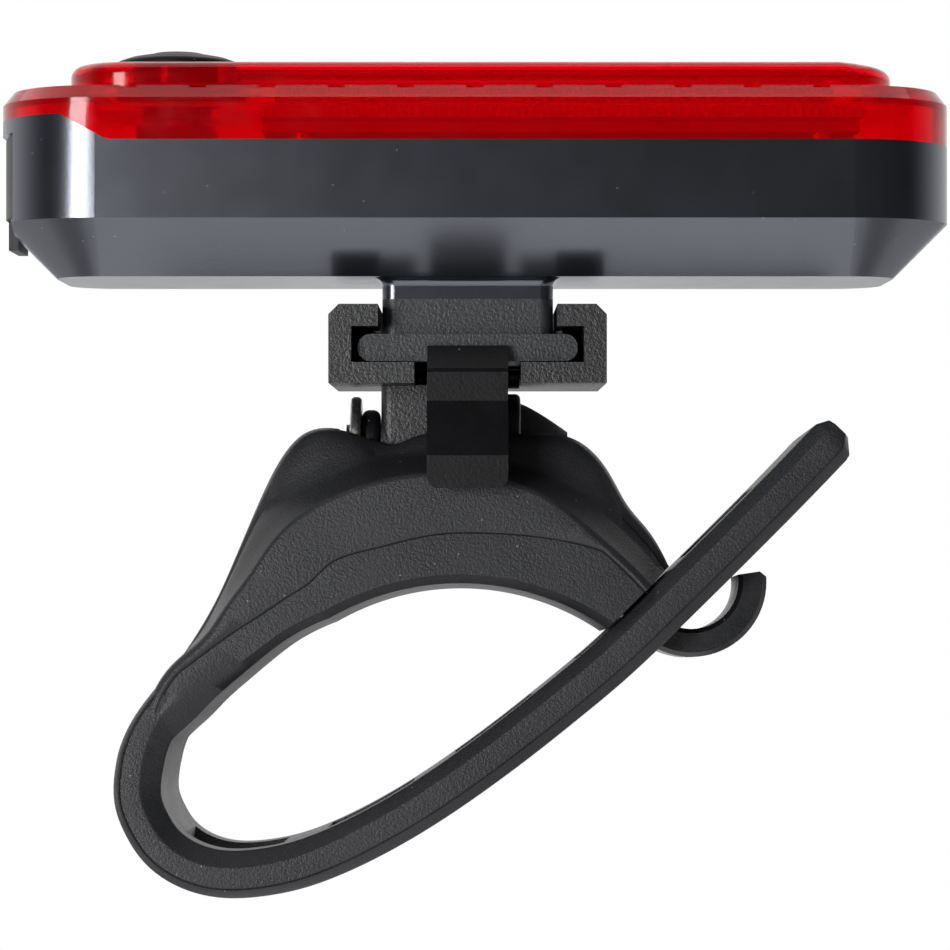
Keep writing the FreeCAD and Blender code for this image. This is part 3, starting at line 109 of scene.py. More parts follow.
# clear plastic with moulding waves and uneven gloss
def clearPlastic(name, look):
    mat, tree, shader, out = newMaterial(name)
    coords = addNode(tree, "ShaderNodeTexCoord").outputs["Object"]
    shader.inputs["Base Color"].default_value = (*look["colour"], 1)
    shader.inputs["Transmission Weight"].default_value = look["transmission"]
    shader.inputs["IOR"].default_value = look["ior"]
    smear = noiseField(tree, coords, look["smearSize"], 2.0)
    tree.links.new(remap(tree, smear, look["rough"], look["rough"] + look["smear"]),
                   shader.inputs["Roughness"])
    wave = noiseField(tree, coords, look["waveSize"], 1.0)
    bump = addNode(tree, "ShaderNodeBump", {"Height": wave}, Strength=look["wave"],
                   Distance=look["waveDepth"] * mm)
    tree.links.new(bump.outputs[0], shader.inputs["Normal"])
    return mat


# plastics and rubbers, sizes in millimetres: clouds of tone, dust, patches of gloss, grain
plainLook = {
    "specular": 0.5, "ior": 1.5, "tint": (1, 1, 1), "grainDepth": 0.03,
    "wave": 0.15, "waveSize": 9.0, "waveDepth": 0.08,
    # a speck's solid and faded radius as shares of dustSpacing, and which cells of 0 to 1 have one
    "dustRadius": (0.04, 0.075), "dustShare": (0.78, 0.8), "dustColour": (0.35, 0.35, 0.36),
}
caseLook = dict(
    plainLook, dark=(0.008, 0.0095, 0.012), light=(0.014, 0.016, 0.02), cloudSize=9,
    dustSpacing=0.8, dust=1.4, patchSize=2.5, rough=(0.22, 0.25), specular=0.6, ior=2.45,
    tint=(0.84, 0.87, 1.0), grainSize=0.3, grain=0.12, wave=0.2, waveSize=12)
strapLook = dict(
    plainLook, dark=(0.022, 0.0225, 0.026), light=(0.036, 0.0365, 0.042), cloudSize=6,
    dustSpacing=0.9, dust=2.0, patchSize=3, rough=(0.4, 0.5), specular=0.6, grainSize=0.19,
    grain=0.9, grainDepth=0.06)
bracketLook = dict(
    plainLook, dark=(0.009, 0.0095, 0.012), light=(0.018, 0.0185, 0.022), cloudSize=3,
    dustSpacing=0.9, dust=1.8, patchSize=2, rough=(0.36, 0.5), specular=0.9, grainSize=0.24,
    grain=0.9, grainDepth=0.07)
latchLook = dict(bracketLook, dark=(0.003, 0.003, 0.004), light=(0.007, 0.007, 0.009),
                 rough=(0.34, 0.42), specular=0.4, grain=0.25)
plateLook = dict(bracketLook, dark=(0.018, 0.02, 0.025), light=(0.032, 0.035, 0.042),
                 rough=(0.38, 0.5), grain=0.7)
coreLook = dict(bracketLook, rough=(0.26, 0.36), grain=0.2)
buttonLook = dict(strapLook, dark=(0.008, 0.008, 0.009), light=(0.014, 0.014, 0.016),
                  rough=(0.5, 0.6), specular=0.3, grain=0.4)
coverLook = dict(strapLook, dark=(0.02, 0.021, 0.023), light=(0.034, 0.035, 0.038), grain=0.8)
sealLook = dict(strapLook, grain=0.2)
foamLook = dict(strapLook, dark=(0.05, 0.05, 0.05), light=(0.09, 0.09, 0.09), grain=1.0)
boardLook = dict(caseLook, dark=(0.5, 0.5, 0.48), light=(0.7, 0.7, 0.68), rough=(0.3, 0.4))
greenLook = dict(caseLook, dark=(0.01, 0.09, 0.03), light=(0.015, 0.13, 0.045))
chipLook = dict(caseLook, dark=(0.5, 0.36, 0.08), light=(0.8, 0.62, 0.2), rough=(0.3, 0.4))
foilLook = dict(caseLook, dark=(0.35, 0.36, 0.4), light=(0.5, 0.51, 0.55), wave=0.5, waveSize=5)
redWireLook = dict(caseLook, dark=(0.35, 0.01, 0.01), light=(0.5, 0.02, 0.02))
plungerLook = dict(caseLook, dark=(0.25, 0.04, 0.03), light=(0.35, 0.06, 0.04))


# moulded plastic or rubber in one of the looks above
def moulded(name, look):
    mat, tree, shader, out = newMaterial(name)
    coords = addNode(tree, "ShaderNodeTexCoord").outputs["Object"]
    cloud = noiseField(tree, coords, look["cloudSize"])
    tone = mixColour(tree, remap(tree, cloud, 0, 1), look["dark"], look["light"])
    # dust: a round speck in a few of the cells
    cells = addNode(tree, "ShaderNodeTexVoronoi", {"Vector": coords},
                    Scale=1 / (look["dustSpacing"] * mm))
    speck = remap(tree, cells.outputs["Distance"], 1, 0, *look["dustRadius"])
    lot = addNode(tree, "ShaderNodeSeparateColor", {"Color": cells.outputs["Color"]})
    chosen = remap(tree, lot.outputs[0], 0, 1, *look["dustShare"])
    dust = addNode(tree, "ShaderNodeMath", {0: speck, 1: chosen}, operation="MULTIPLY")
    faint = remap(tree, dust.outputs[0], 0, look["dust"], 0, 1)
    colour = mixColour(tree, faint, tone, look["dustColour"])
    tree.links.new(colour, shader.inputs["Base Color"])
    # gloss in patches
    patch = noiseField(tree, coords, look["patchSize"], 4.0)
    rough = remap(tree, patch, *look["rough"], 0.2, 0.8)
    tree.links.new(rough, shader.inputs["Roughness"])
    shader.inputs["Specular IOR Level"].default_value = look["specular"]
    shader.inputs["IOR"].default_value = look["ior"]
    shader.inputs["Specular Tint"].default_value = (*look["tint"], 1)
    # fine grain on broad moulding waves
    grain = noiseField(tree, coords, look["grainSize"], 2.0, 0.6)
    fine = addNode(tree, "ShaderNodeBump", {"Height": grain}, Strength=look["grain"],
                   Distance=look["grainDepth"] * mm)
    wave = noiseField(tree, coords, look["waveSize"], 1.0)
    broad = addNode(tree, "ShaderNodeBump", {"Height": wave, "Normal": fine.outputs[0]},
                    Strength=look["wave"], Distance=look["waveDepth"] * mm)
    tree.links.new(broad.outputs[0], shader.inputs["Normal"])
    return mat


# metals, sizes in millimetres
zincLook = {
    "colour": (0.72, 0.71, 0.68), "rough": 0.38, "grainSize": 0.35,
    "darker": 0.62,                # tone of the darkest crystals
    "roughSpread": (0.08, 0.1),    # below and above the middle roughness
    "bump": 0.35, "bumpDepth": 0.02,
}
screwLook = dict(zincLook, colour=(0.6, 0.6, 0.61), rough=0.3, grainSize=0.3)
tinLook = dict(zincLook, colour=(0.7, 0.7, 0.68), rough=0.3, grainSize=0.2)
socketLook = dict(zincLook, colour=(0.62, 0.62, 0.63), rough=0.28, grainSize=0.15)


# plated metal with a fine crystalline grain
def metalPlate(name, look):
    mat, tree, shader, out = newMaterial(name)
    coords = addNode(tree, "ShaderNodeTexCoord").outputs["Object"]
    flake = addNode(tree, "ShaderNodeTexVoronoi", {"Vector": coords},
                    Scale=1 / (look["grainSize"] * mm))
    split = addNode(tree, "ShaderNodeSeparateColor", {"Color": flake.outputs["Color"]})
    darker = tuple(look["darker"] * part for part in look["colour"])
    tone = mixColour(tree, split.outputs[0], darker, look["colour"])
    tree.links.new(tone, shader.inputs["Base Color"])
    shader.inputs["Metallic"].default_value = 1.0
    below, above = look["roughSpread"]
    rough = remap(tree, split.outputs[1], look["rough"] - below, look["rough"] + above, 0, 1)
    tree.links.new(rough, shader.inputs["Roughness"])
    bump = addNode(tree, "ShaderNodeBump", {"Height": split.outputs[2]}, Strength=look["bump"],
                   Distance=look["bumpDepth"] * mm)
    tree.links.new(bump.outputs[0], shader.inputs["Normal"])
    return mat


# each piece's material
materials = {
    "rear_housing": moulded("case_plastic", caseLook),
    "lens_cover": clearPlastic("red_lens", lensLook),
    "lens_seal": moulded("seal_rubber", sealLook),
    "light_guide": clearPlastic("clear_optic", opticLook),
    "led_board": moulded("white_board", boardLook),
    "led_chips": moulded("chip_resin", chipLook),
    "control_board": moulded("green_board", greenLook),
    "board_chips": moulded("chip_black", caseLook),
    "board_posts": metalPlate("tinned", tinLook),
    "usb_socket": metalPlate("socket_steel", socketLook),
    "switch_body": moulded("switch_plastic", plateLook),
    "switch_plunger": moulded("plunger_plastic", plungerLook),
    "mode_button": moulded("button_rubber", buttonLook),
    "usb_cover": moulded("cover_rubber", coverLook),
    "battery_cell": moulded("cell_foil", foilLook),
    "battery_pad": moulded("foam", foamLook),
    "wire_positive": moulded("wire_red", redWireLook),
    "wire_negative": moulded("wire_black", caseLook),
    "slide_plate": moulded("plate_plastic", plateLook),
    "plate_screws": metalPlate("screw_steel", screwLook),
    "slide_bracket": moulded("bracket_plastic", bracketLook),
    "release_latch": moulded("latch_plastic", latchLook),
    "pivot_screw": metalPlate("zinc", zincLook),
    "saddle_base": moulded("core_plastic", coreLook),
    "rubber_strap": moulded("strap_rubber", strapLook),
}
materials["pivot_washer"] = materials["pivot_nut"] = materials["pivot_screw"]

for name, node in nodes.items():
    if not node.material_slots:
        node.data.materials.append(materials[name])
    for slot in node.material_slots:
        slot.material = materials[name]
print("stage: pieces dressed")

# rubber saddle and strap, in millimetres in the saddle's own frame, angles in degrees
rubberLook = {
    "postRadius": 20.2,
    "halfWidth": 9.0,
    "sleeveAngles": (-73, 39, 150),   # round the post from the crown: start, end and rings
    "archBevel": ((-67, 2.0), (-62, 1.7), (-58, 1.26), (-52, 0.8), (-45, 0.65)),
    "bevelDepth": 0.9,                # of the sloped edge over the seat post
    "tailTaper": (-60, 0.12, 8),      # first angle, narrowing and degrees in which it happens
    "footEnd": -30,                   # angle at which the tail's own foot meets the post
    "edgeRound": 0.55,
    "roundMiddle": 0.3,               # share by which a rounding's middle point is set back
    "flangeTop": (1.6, 0.55),         # out from the ridge, share of the way to the valley
    "ridgeHalf": 5.5,
    "ridgeRound": (1.2, 0.6),         # its radius, and at most this share of the rise
    "ridgeLean": (0.25, 0.3),         # inwards at the foot and the top of that rounding
    "ridgeCrown": 0.02,
    "ridgeSide": ((0.8, 0.0), (0.35, 0.12), (0.05, 0.4)),  # out from the ridge, share of its rise
    "partingDepth": 0.14,
    "partingHalf": 0.13,
    "partingRoom": 0.3,               # least distance from the flange's rounding
    "leastRise": 0.04,                # keeps flange, valley and ridge in order
    "strapHeight": 3.65,
    "strapStep": 0.45,
    "strapStart": 63,                 # angle at which the strap leaves the sleeve
    "rootLength": 5,                  # it starts a little slimmer inside the sleeve:
    "rootThickness": (0.86, 0.14),    # share at the start and share that is gained
    "rootWidth": (0.985, 0.015),
    "tipLength": 1.0,
    "tipSqueeze": (0.45, 0.6, 0.05),  # thinner, lower and narrower at the very tip
    "changeLength": 30,               # from the root's parting line and bevel to the run's
    "grooveInset": (0.5, 0.9),        # parting line from the strap's outside, root and run
    "innerBevel": (1.7, 1.0),         # height of its inner sloped edge, root and run
    "slotLength": 7.6,
    "slotWidth": 9.4,
    "slotDepth": 10,
    "slotPitch": 12.0,
    "slotNumbers": (-1, 0, 1, 2, 3),
    "firstSlot": 23.3,                # middle of the hooked slot from the strap's tip
    "clearAt": 16.2,                  # the hooked strap's bed in the sleeve, from the tip
    "clearGap": 0.25,
    "clearSize": (14, 12, 20),        # half length, half width and height, past the sleeve
    "pocket": ((-9.5, 4.75), 4.2, (6.2, 30)),   # ends, half width, floor and open top
    "boss": ((4.7, 3.2), (8.5, 0.9)),           # both ends' places and radii
    "bossCurve": 1.2,
    "bossRings": (9, 28),                       # rings and points in each
    "pivotLevel": 11.36,
    "sharpAngle": 50,
}
# degrees round the post from the crown, and distance in saddle radii
strapRoute = [(-36.6, 1.147), (-47.6, 1.165), (-55.3, 1.206), (-60.8, 1.223), (-65.6, 1.241),
              (-71.9, 1.260), (-77.2, 1.257), (-82.3, 1.237), (-86.3, 1.193), (-89.5, 1.147),
              (-94.2, 1.031), (-96.8, 0.905), (-97.6, 0.775), (-96.9, 0.635), (-93.0, 0.487),
              (-82.9, 0.345), (-57.4, 0.232), (-12.3, 0.225), (17.2, 0.340), (29.7, 0.503),
              (35.7, 0.687), (38.9, 0.875), (41.1, 1.215), (42.3, 1.694), (42.6, 1.956),
              (42.7, 2.153)]
# x and z of the sleeve's edges as seen from its end, from the tail over the crown
tailFoot = [(-23.17, -13.56), (-22.3, -12.2), (-20.63, -10.62), (-19.32, -9.27),
            (-17.53, -7.65), (-15.36, -5.82), (-13.34, -4.3), (-11.3, -3.2), (-10.1, -2.71)]
tailEdge = [(-24.43, -11.31), (-24.03, -9.5), (-23.31, -7.81), (-22.22, -6.32)]
flangeEdge = tailEdge + [
    (-20.83, -5.06), (-19.68, -3.98), (-18.76, -2.71), (-17.73, -1.18), (-16.19, 0.9),
    (-14.4, 3.5), (-11.4, 6.0), (-7.5, 7.7), (-3.1, 8.6), (2.0, 8.4), (6.0, 7.2), (10.0, 4.4),
    (14.9, -0.2)]
valleyEdge = tailEdge + [
    (-20.95, -4.9), (-19.9, -3.6), (-19.1, -2.2), (-18.3, -0.6), (-16.8, 2.4), (-15.0, 5.3),
    (-12.0, 7.3), (-8.0, 9.1), (-3.0, 9.9), (2.5, 9.5), (7.0, 8.2), (11.2, 5.3), (15.5, 1.0)]
ridgeEdge = tailEdge + [
    (-20.95, -4.5), (-19.85, -2.7), (-18.75, -0.6), (-17.66, 1.9), (-16.0, 5.9), (-13.8, 10.3),
    (-12.2, 11.9), (-9.6, 12.25), (-7.4, 11.6), (-5.4, 11.0), (-3.2, 11.8), (0.5, 12.0),
    (5.0, 11.9), (9.0, 11.4), (11.6, 8.9), (13.0, 6.4), (14.6, 4.4), (16.3, 1.4)]
partingLine = [(-24.38, -9.84), (-22.7, -7.81), (-20.9, -6.35), (-19.1, -5.0),
               (-17.53, -3.87), (-15.28, -2.41), (-12.8, -0.77), (-11.67, -0.04), (-10.1, 1.43),
               (-6.9, 2.6), (-2.2, 3.7), (2.5, 3.85), (7.2, 3.4), (11.8, 2.15), (15.2, 0.3)]


# natural cubic spline through values at knots
def splineThrough(knots, values, where):
    knots, values = np.asarray(knots, float), np.asarray(values, float)
    count, step = len(knots), np.diff(knots)
    matrix, right = np.eye(count), np.zeros(count)
    for i in range(1, count - 1):
        matrix[i, i - 1:i + 2] = step[i - 1], 2 * (step[i - 1] + step[i]), step[i]
        right[i] = 6 * ((values[i + 1] - values[i]) / step[i]
                        - (values[i] - values[i - 1]) / step[i - 1])
    bend = np.linalg.solve(matrix, right)
    at = np.clip(np.searchsorted(knots, where) - 1, 0, count - 2)
    gap, ahead, behind = step[at], knots[at + 1] - where, where - knots[at]
    return ((bend[at] * ahead ** 3 + bend[at + 1] * behind ** 3) / (6 * gap)
            + (values[at] / gap - bend[at] * gap / 6) * ahead
            + (values[at + 1] / gap - bend[at + 1] * gap / 6) * behind)


# an edge's distance from the post's centre at each angle
def polarEdge(points, angles):
    radius = rubberLook["postRadius"]
    own = [math.degrees(math.atan2(x, z + radius)) for x, z in points]
    far = [math.hypot(x, z + radius) for x, z in points]
    return splineThrough(own, far, np.clip(angles, own[0], own[-1]))


# linked object of points in millimetres and faces, which are turned outwards
def solidMesh(name, points, faces):
    mesh = bpy.data.meshes.new(name)
    mesh.from_pydata([tuple(point * mm) for point in points], [], faces)
    work = bmesh.new()
    work.from_mesh(mesh)
    bmesh.ops.recalc_face_normals(work, faces=work.faces)
    work.to_mesh(mesh)
    work.free()
    solid = bpy.data.objects.new(name, mesh)
    bpy.context.scene.collection.objects.link(solid)
    return solid


# closed mesh through equal rings of points, its ends capped
def ringMesh(name, rings):
    rings = np.asarray(rings, float)
    count, size = rings.shape[:2]
    faces = []
    for i in range(count - 1):
        for j in range(size):
            k = (j + 1) % size
            faces.append((i * size + j, i * size + k, (i + 1) * size + k, (i + 1) * size + j))
    faces.append(tuple(range(size))[::-1])
    faces.append(tuple((count - 1) * size + j for j in range(size)))
    return solidMesh(name, rings.reshape(-1, 3), faces)


# block between two corners, moved by a matrix
def blockMesh(name, low, high, matrix=Matrix()):
    xs, ys, zs = zip(low, high)
    corners = [matrix @ Vector((x, y, z)) for x in xs for y in ys for z in zs]
    faces = [(0, 1, 3, 2), (4, 6, 7, 5), (0, 4, 5, 1), (2, 3, 7, 6), (0, 2, 6, 4), (1, 5, 7, 3)]
    return solidMesh(name, corners, faces)


# the object's modifiers made plain mesh
def applied(solid):
    graph = bpy.context.evaluated_depsgraph_get()
    mesh = bpy.data.meshes.new_from_object(solid.evaluated_get(graph))
    solid.modifiers.clear()
    solid.data = mesh
    return solid


# boolean of a solid with other closed meshes, which are used up
def combine(solid, kind, tools):
    for tool in tools:
        step = solid.modifiers.new(kind, "BOOLEAN")
        step.operation = kind
        step.solver = "EXACT"
        step.object = tool
    applied(solid)
    for tool in tools:
        bpy.data.objects.remove(tool)


# geometry nodes that set a box on every point, its length turned to the point's "along"
def boxTree():
    tree = bpy.data.node_groups.new("slot_boxes", "GeometryNodeTree")
    sockets = (("Places", "Geometry"), ("Slot Length", "Float"), ("Slot Width", "Float"),
               ("Slot Depth", "Float"), ("Rubber", "Material"))
    for label, kind in sockets:
        tree.interface.new_socket(label, in_out="INPUT", socket_type="NodeSocket" + kind)
    tree.interface.new_socket("Boxes", in_out="OUTPUT", socket_type="NodeSocketGeometry")
    given = tree.nodes.new("NodeGroupInput").outputs
    size = addNode(tree, "ShaderNodeCombineXYZ", {
        "X": given["Slot Length"], "Y": given["Slot Width"], "Z": given["Slot Depth"]})
    box = addNode(tree, "GeometryNodeMeshCube", {"Size": size.outputs[0]})
    along = addNode(tree, "GeometryNodeInputNamedAttribute", data_type="FLOAT_VECTOR",
                    Name="along")
    turn = addNode(tree, "FunctionNodeAlignRotationToVector", {"Vector": along.outputs[0]},
                   axis="X", pivot_axis="Y")
    boxes = addNode(tree, "GeometryNodeInstanceOnPoints", {
        "Points": given["Places"], "Instance": box.outputs["Mesh"], "Rotation": turn.outputs[0]})
    real = addNode(tree, "GeometryNodeRealizeInstances", {"Geometry": boxes.outputs[0]})
    dressed = addNode(tree, "GeometryNodeSetMaterial", {
        "Geometry": real.outputs[0], "Material": given["Rubber"]})
    addNode(tree, "NodeGroupOutput", {"Boxes": dressed.outputs[0]})
    return tree


# boxes that cut the strap's slots, one at each place with its direction
def slotBoxes(places, directions):
    look = rubberLook
    mesh = bpy.data.meshes.new("slots")
    mesh.from_pydata([tuple(place * mm) for place in places], [], [])
    along = mesh.attributes.new("along", "FLOAT_VECTOR", "POINT")
    for point, direction in zip(along.data, directions):
        point.vector = direction
    slots = bpy.data.objects.new("slots", mesh)
    bpy.context.scene.collection.objects.link(slots)
    step = slots.modifiers.new("slots", "NODES")
    step.node_group = boxTree()
    sizes = {"Slot Length": look["slotLength"] * mm, "Slot Width": look["slotWidth"] * mm,
             "Slot Depth": look["slotDepth"] * mm, "Rubber": materials["rubber_strap"]}
    for socket in step.node_group.interface.items_tree:
        if socket.name in sizes:
            step[socket.identifier] = sizes[socket.name]
    return applied(slots)


# cross-sections of the saddle sleeve, one per angle round the post
def sleeveRings():
    look = rubberLook
    start, end, count = look["sleeveAngles"]
    angles = np.linspace(start, end, count)
    flange, valley = polarEdge(flangeEdge, angles), polarEdge(valleyEdge, angles)
    ridge, parting = polarEdge(ridgeEdge, angles), polarEdge(partingLine, angles)
    arch, far = look["postRadius"], look["halfWidth"]
    foot = np.where(angles < look["footEnd"], polarEdge(tailFoot, angles), arch)
    ups = np.interp(angles, *zip(*look["archBevel"]))
    deep, least, slit = look["bevelDepth"], look["leastRise"], look["partingHalf"]
    bow, middle, step = look["edgeRound"], look["roundMiddle"], look["ridgeHalf"]
    (top, topShare), (lean, leanTop) = look["ridgeRound"], look["ridgeLean"]
    (flangeOut, flangeShare), (taperFrom, taper, over) = look["flangeTop"], look["tailTaper"]
    rings = []
    for degrees, f, v, r, line, inner, up in zip(angles, flange, valley, ridge, parting, foot,
                                                 ups):
        side = far - taper * max(0.0, (taperFrom - degrees) / over)
        v, r = max(v, f + least), max(r, v + least, f + 2 * least)
        line = min(line, f - bow - look["partingRoom"])
        rise = r - v
        soft = min(top, rise * topShare)
        half = [(side - deep, inner), (side, inner + up),             # bevel over the post
                (side, line - slit), (side - look["partingDepth"], line), (side, line + slit),
                (side, f - bow), (side - middle * bow, f - middle * bow), (side - bow, f),
                (step + flangeOut, f + flangeShare * (v - f))]        # flange towards the valley
        half += [(step + out, v + share * rise) for out, share in look["ridgeSide"]]
        half += [(step - lean, r - soft),                             # ridge's rounded edge, top
                 (step - leanTop - middle * soft, r - middle * soft),
                 (step - leanTop - soft, r), (step / 3, r + look["ridgeCrown"])]
        profile = half + [(-y, z) for y, z in half[::-1]]
        turn = math.radians(degrees)
        rings.append([(z * math.sin(turn), y, z * math.cos(turn) - arch) for y, z in profile])
    return rings


# middle points, forward and outward directions and length to the tip along the strap's route
def strapFrames():
    radius = rubberLook["postRadius"]
    points = np.array([(radius * far * math.sin(math.radians(a)),
                        radius * (far * math.cos(math.radians(a)) - 1)) for a, far in strapRoute])
    knots = np.r_[0, np.cumsum(np.hypot(*np.diff(points, axis=0).T))]
    where = np.linspace(0, knots[-1], int(knots[-1] / rubberLook["strapStep"]))
    xs = splineThrough(knots, points[:, 0], where)
    zs = splineThrough(knots, points[:, 1], where)
    middle = np.c_[xs, zs]
    forward = np.gradient(middle, axis=0)
    forward /= np.hypot(*forward.T)[:, None]
    outward = np.c_[forward[:, 1], -forward[:, 0]]
    length = np.r_[0, np.cumsum(np.hypot(*np.diff(middle, axis=0).T))]
    start = int(np.argmax(np.degrees(np.arctan2(-xs, zs + radius)) > rubberLook["strapStart"]))
    return tuple(part[start:] for part in (middle, forward, outward, length[-1] - length))


# cross-sections of the strap, with a fine parting line and a sloped tip
def strapRings(frames):
    look = rubberLook
    half, side = look["strapHeight"] / 2, look["halfWidth"]
    (thick, thickGain), (wide, wideGain) = look["rootThickness"], look["rootWidth"]
    thinner, lower, narrower = look["tipSqueeze"]
    rings = []
    for (x, z), _, (ox, oz), left in zip(*frames):
        done = frames[3][0] - left
        share = min(1.0, done / look["changeLength"])
        line, rise = (low + (high - low) * share
                      for low, high in (look["grooveInset"], look["innerBevel"]))
        quarter = [(side - 1.0, -half), (side - 0.86, 0.1 - half),    # inner bevel
                   (side - 0.06, rise - 0.1 - half), (side, rise + 0.1 - half),
                   (side, half - line - 0.1), (side - 0.08, half - line),  # parting line
                   (side, half - line + 0.1),
                   (side - 0.05, half - line + 0.2), (side - 0.75, half - 0.08),
                   (side - 0.95, half)]                               # outer edge
        profile = quarter + [(-y, out) for y, out in quarter[::-1]]
        squeeze = max(0.0, look["tipLength"] - left) * thinner
        grow = min(1.0, done / look["rootLength"])
        ring = []
        for y, out in profile:
            out, y = out * (thick + thickGain * grow), y * (wide + wideGain * grow)
            out = out * (1 - squeeze) - lower * squeeze
            ring.append((x + ox * out, y * (1 - narrower * squeeze), z + oz * out))
        rings.append(ring)
    return rings


# rings of the round swelling over the pivot's nut
def bossRings():
    look = rubberLook
    (startX, startR), (endX, endR) = look["boss"]
    count, around = look["bossRings"]
    rings = []
    for share in np.linspace(0, 1, count):
        x = startX + (endX - startX) * share
        r = startR + (endR - startR) * share ** look["bossCurve"]
        rings.append([(x, r * math.cos(turn), look["pivotLevel"] + r * math.sin(turn))
                      for turn in np.linspace(0, 2 * math.pi, around, endpoint=False)])
    return rings


# saddle sleeve and ladder strap in one moulding
def rubberPiece():
    look = rubberLook
    frames = strapFrames()
    middle, forward, outward, left = frames
    sleeve = ringMesh("rubber_saddle_strap", sleeveRings())
    i = int(np.argmin(abs(left - look["clearAt"])))
    (x, z), (fx, fz), (ox, oz) = middle[i], forward[i], outward[i]
    bed = Matrix(((fx, 0, ox, x), (0, 1, 0, 0), (fz, 0, oz, z), (0, 0, 0, 1)))
    length, width, height = look["clearSize"]
    clear = blockMesh("clear", (-length, -width, -look["strapHeight"] / 2 - look["clearGap"]),
                      (length, width, height), bed)
    combine(sleeve, "DIFFERENCE", [clear])
    strap = ringMesh("strap", strapRings(frames))
    at = [int(np.argmin(abs(left - look["firstSlot"] - number * look["slotPitch"])))
          for number in look["slotNumbers"]]
    combine(strap, "DIFFERENCE", [slotBoxes([Vector((middle[i][0], 0, middle[i][1])) for i in at],
                                            [(forward[i][0], 0, forward[i][1]) for i in at])])
    combine(sleeve, "UNION", [ringMesh("boss", bossRings()), strap])
    (leftEnd, rightEnd), half, (bottom, top) = look["pocket"]
    pocket = blockMesh("pocket", (leftEnd, -half, bottom), (rightEnd, half, top))
    combine(sleeve, "DIFFERENCE", [pocket])
    sleeve.data.shade_smooth()
    sleeve.data.set_sharp_from_angle(angle=math.radians(look["sharpAngle"]))
    even = sleeve.modifiers.new("even", "WEIGHTED_NORMAL")
    even.keep_sharp = True
    even.weight = 90
    applied(sleeve)
    sleeve.data.materials.append(materials["rubber_strap"])
    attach(sleeve, "base")
    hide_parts("rubber_strap")


rubberPiece()
print("stage: rubber")

# studio in metres: pale floor, white surroundings that are dim towards the camera's side
studio = {
    "floorLevel": -0.16,
    "floorSize": 3.0,
    "floorColour": (0.9, 0.9, 0.9),
    "floorGlow": 0.7,                 # below 1 it leaves the object's shadow on the floor
    # painted dark reflection: grey of the floor in gloss only, by distance from the middle, darker
    # bands at both sides
    "paintedGlossShade": ((0.0, 1.0), (0.055, 1.0), (0.08, 0.1), (0.13, 0.1), (0.17, 0.5), (0.4, 0.5)),
    "surround": 1.0,
    "brightSide": (-0.1, 1.0, 0.0),
    "dim": 0.005,                     # surroundings on the other side
    "dimEdge": (-0.45, 0.95),         # where they turn from dim to bright
    "lampPower": 2.2,
    # name, place, size and share of the power
    "lamps": (("lamp_left", (-0.26, -0.53, 0.0), 0.18, 0.62),
              ("lamp_top", (-0.05, 0.12, 0.60), 1.0, 1.1)),
    "lampAim": (0.001, 0.0, 0.012),
}


# larger of two sources
def larger(tree, first, second):
    return addNode(tree, "ShaderNodeMath", {0: first, 1: second}, operation="MAXIMUM").outputs[0]


# one for camera, glossy and transmission rays
def lightRayFactor(tree):
    path = tree.nodes.new("ShaderNodeLightPath").outputs
    total = larger(tree, path["Is Camera Ray"], path["Is Glossy Ray"])
    return larger(tree, total, path["Is Transmission Ray"])


# first shader where the factor is 0, second where it is 1
def mixShaders(tree, factor, first, second):
    mixed = addNode(tree, "ShaderNodeMixShader")
    for index, source in enumerate((factor, first.outputs[0], second.outputs[0])):
        tree.links.new(source, mixed.inputs[index])
    return mixed.outputs[0]


# floor that glows white for the camera and shows painted dark reflection bands at its sides in the
# object's gloss only
def paleFloor():
    look = studio
    mat, tree, shader, out = newMaterial("pale_floor")
    shader.inputs["Base Color"].default_value = (*look["floorColour"], 1)
    shader.inputs["Roughness"].default_value = 0.9
    shader.inputs["Specular IOR Level"].default_value = 0.1
    place = addNode(tree, "ShaderNodeTexCoord").outputs["Object"]
    sideways = addNode(tree, "ShaderNodeSeparateXYZ", {"Vector": place})
    spread = addNode(tree, "ShaderNodeMath", {0: sideways.outputs[0]}, operation="ABSOLUTE")
    # painted reflection: darker floor bands by distance from the middle, seen only in gloss
    paintedGlossShade = addNode(tree, "ShaderNodeValToRGB", {"Fac": spread.outputs[0]})
    stops = paintedGlossShade.color_ramp.elements
    for distance, grey in look["paintedGlossShade"]:
        stop = stops[0] if distance == 0 else stops.new(distance)
        stop.color = (grey, grey, grey, 1)
    stops[-1].color = (grey, grey, grey, 1)  # the last grey runs on
    inGloss = tree.nodes.new("ShaderNodeLightPath").outputs["Is Glossy Ray"]
    # painted dark reflection: banded grey for glossy rays, plain white for all other rays
    colour = mixColour(tree, inGloss, (1.0, 1.0, 1.0), paintedGlossShade.outputs[0])
    glow = addNode(tree, "ShaderNodeEmission", {"Color": colour}, Strength=1.0)
    share = addNode(tree, "ShaderNodeMath", {0: lightRayFactor(tree)}, operation="MULTIPLY")
    share.inputs[1].default_value = look["floorGlow"]
    tree.links.new(mixShaders(tree, share.outputs[0], shader, glow), out.inputs[0])
    mesh = bpy.data.meshes.new("floor")
    half, level = look["floorSize"] / 2, look["floorLevel"]
    mesh.from_pydata([(-half, -half, level), (half, -half, level), (half, half, level),
                      (-half, half, level)], [], [(0, 1, 2, 3)])
    mesh.materials.append(mat)
    floor = bpy.data.objects.new("floor", mesh)
    bpy.context.scene.collection.objects.link(floor)
    return floor


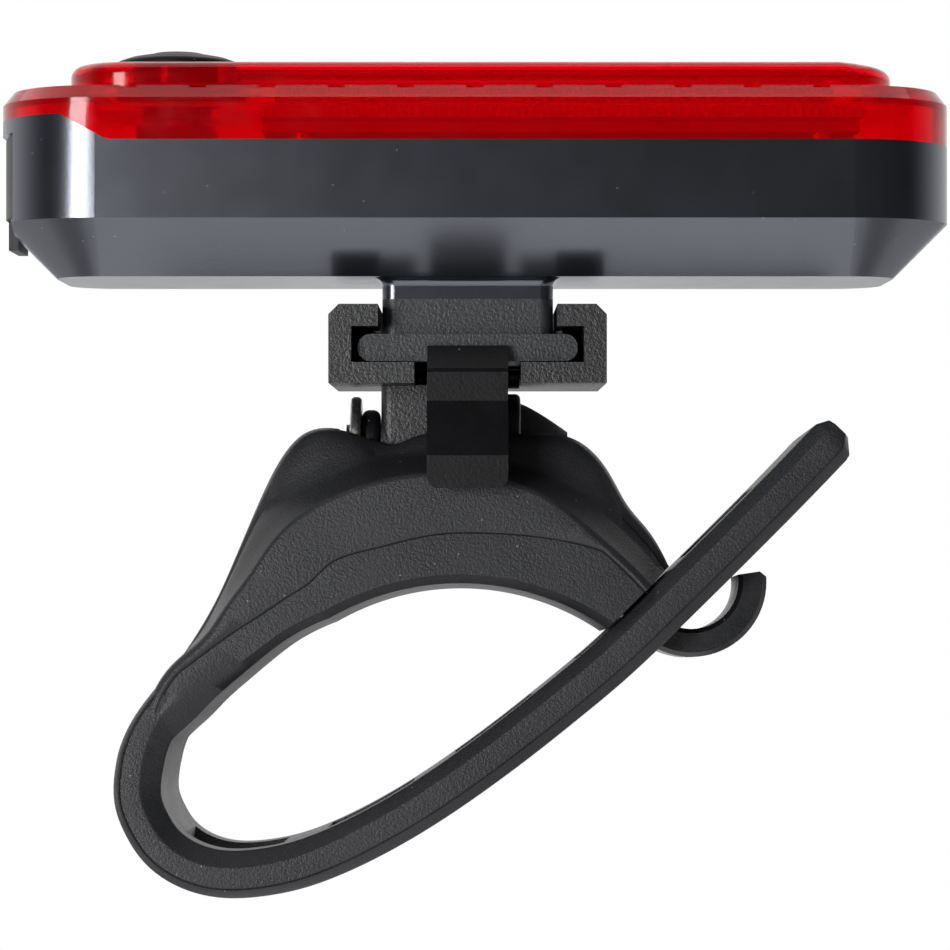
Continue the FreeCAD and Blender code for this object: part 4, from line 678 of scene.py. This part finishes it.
# white world, dim on the camera's side in gloss and as light
def whiteRoom():
    look = studio
    world = bpy.data.worlds.new("studio")
    bpy.context.scene.world = world
    world.use_nodes = True
    tree = world.node_tree
    tree.nodes.clear()
    direction = addNode(tree, "ShaderNodeTexCoord").outputs["Generated"]
    towards = addNode(tree, "ShaderNodeVectorMath", {0: direction}, operation="DOT_PRODUCT")
    towards.inputs[1].default_value = look["brightSide"]
    room = remap(tree, towards.outputs["Value"], look["dim"], 1, *look["dimEdge"])
    room.node.interpolation_type = "SMOOTHSTEP"
    path = tree.nodes.new("ShaderNodeLightPath").outputs
    clear = larger(tree, path["Is Camera Ray"], path["Is Transmission Ray"])
    seen = addNode(tree, "ShaderNodeBackground", {"Strength": larger(tree, room, clear)},
                   Color=(1, 1, 1, 1))
    light = addNode(tree, "ShaderNodeMath", {0: room}, operation="MULTIPLY")
    light.inputs[1].default_value = look["surround"]
    soft = addNode(tree, "ShaderNodeBackground", {"Strength": light.outputs[0]},
                   Color=(1, 1, 1, 1))
    out = tree.nodes.new("ShaderNodeOutputWorld")
    tree.links.new(mixShaders(tree, lightRayFactor(tree), soft, seen), out.inputs[0])


# square lamp that the camera does not see
def squareLamp(name, place, size, power):
    data = bpy.data.lights.new(name, "AREA")
    data.shape = "SQUARE"
    data.size = size
    data.energy = power * studio["lampPower"]
    lamp = bpy.data.objects.new(name, data)
    lamp.location = place
    lamp.visible_camera = False
    towards = Vector(studio["lampAim"]) - Vector(place)
    lamp.rotation_euler = towards.to_track_quat("-Z", "Y").to_euler()
    bpy.context.scene.collection.objects.link(lamp)


paleFloor()
whiteRoom()
for lamp in studio["lamps"]:
    squareLamp(*lamp)
print("stage: studio")

# camera, lengths in millimetres
view = {
    "place": (1.15, -272.83, -6.90),
    "tilt": 2.8,                      # degrees, looking slightly up
    "focal": 129.98,                  # 3430 pixels of focal length across a picture of 950
    "sensor": 36.0,
    "shiftUp": 0.0316,
    "nearest": 10,
}
cameraData = bpy.data.cameras.new("camera")
cameraData.sensor_width = view["sensor"]
cameraData.lens = view["focal"]
cameraData.shift_y = view["shiftUp"]
cameraData.clip_start = view["nearest"] * mm
camera = bpy.data.objects.new("camera", cameraData)
camera.location = [part * mm for part in view["place"]]
camera.rotation_euler = (math.pi / 2 + math.radians(view["tilt"]), 0, 0)
bpy.context.scene.collection.objects.link(camera)
bpy.context.scene.camera = camera
bpy.context.scene.view_settings.view_transform = "Standard"
print("stage: camera")
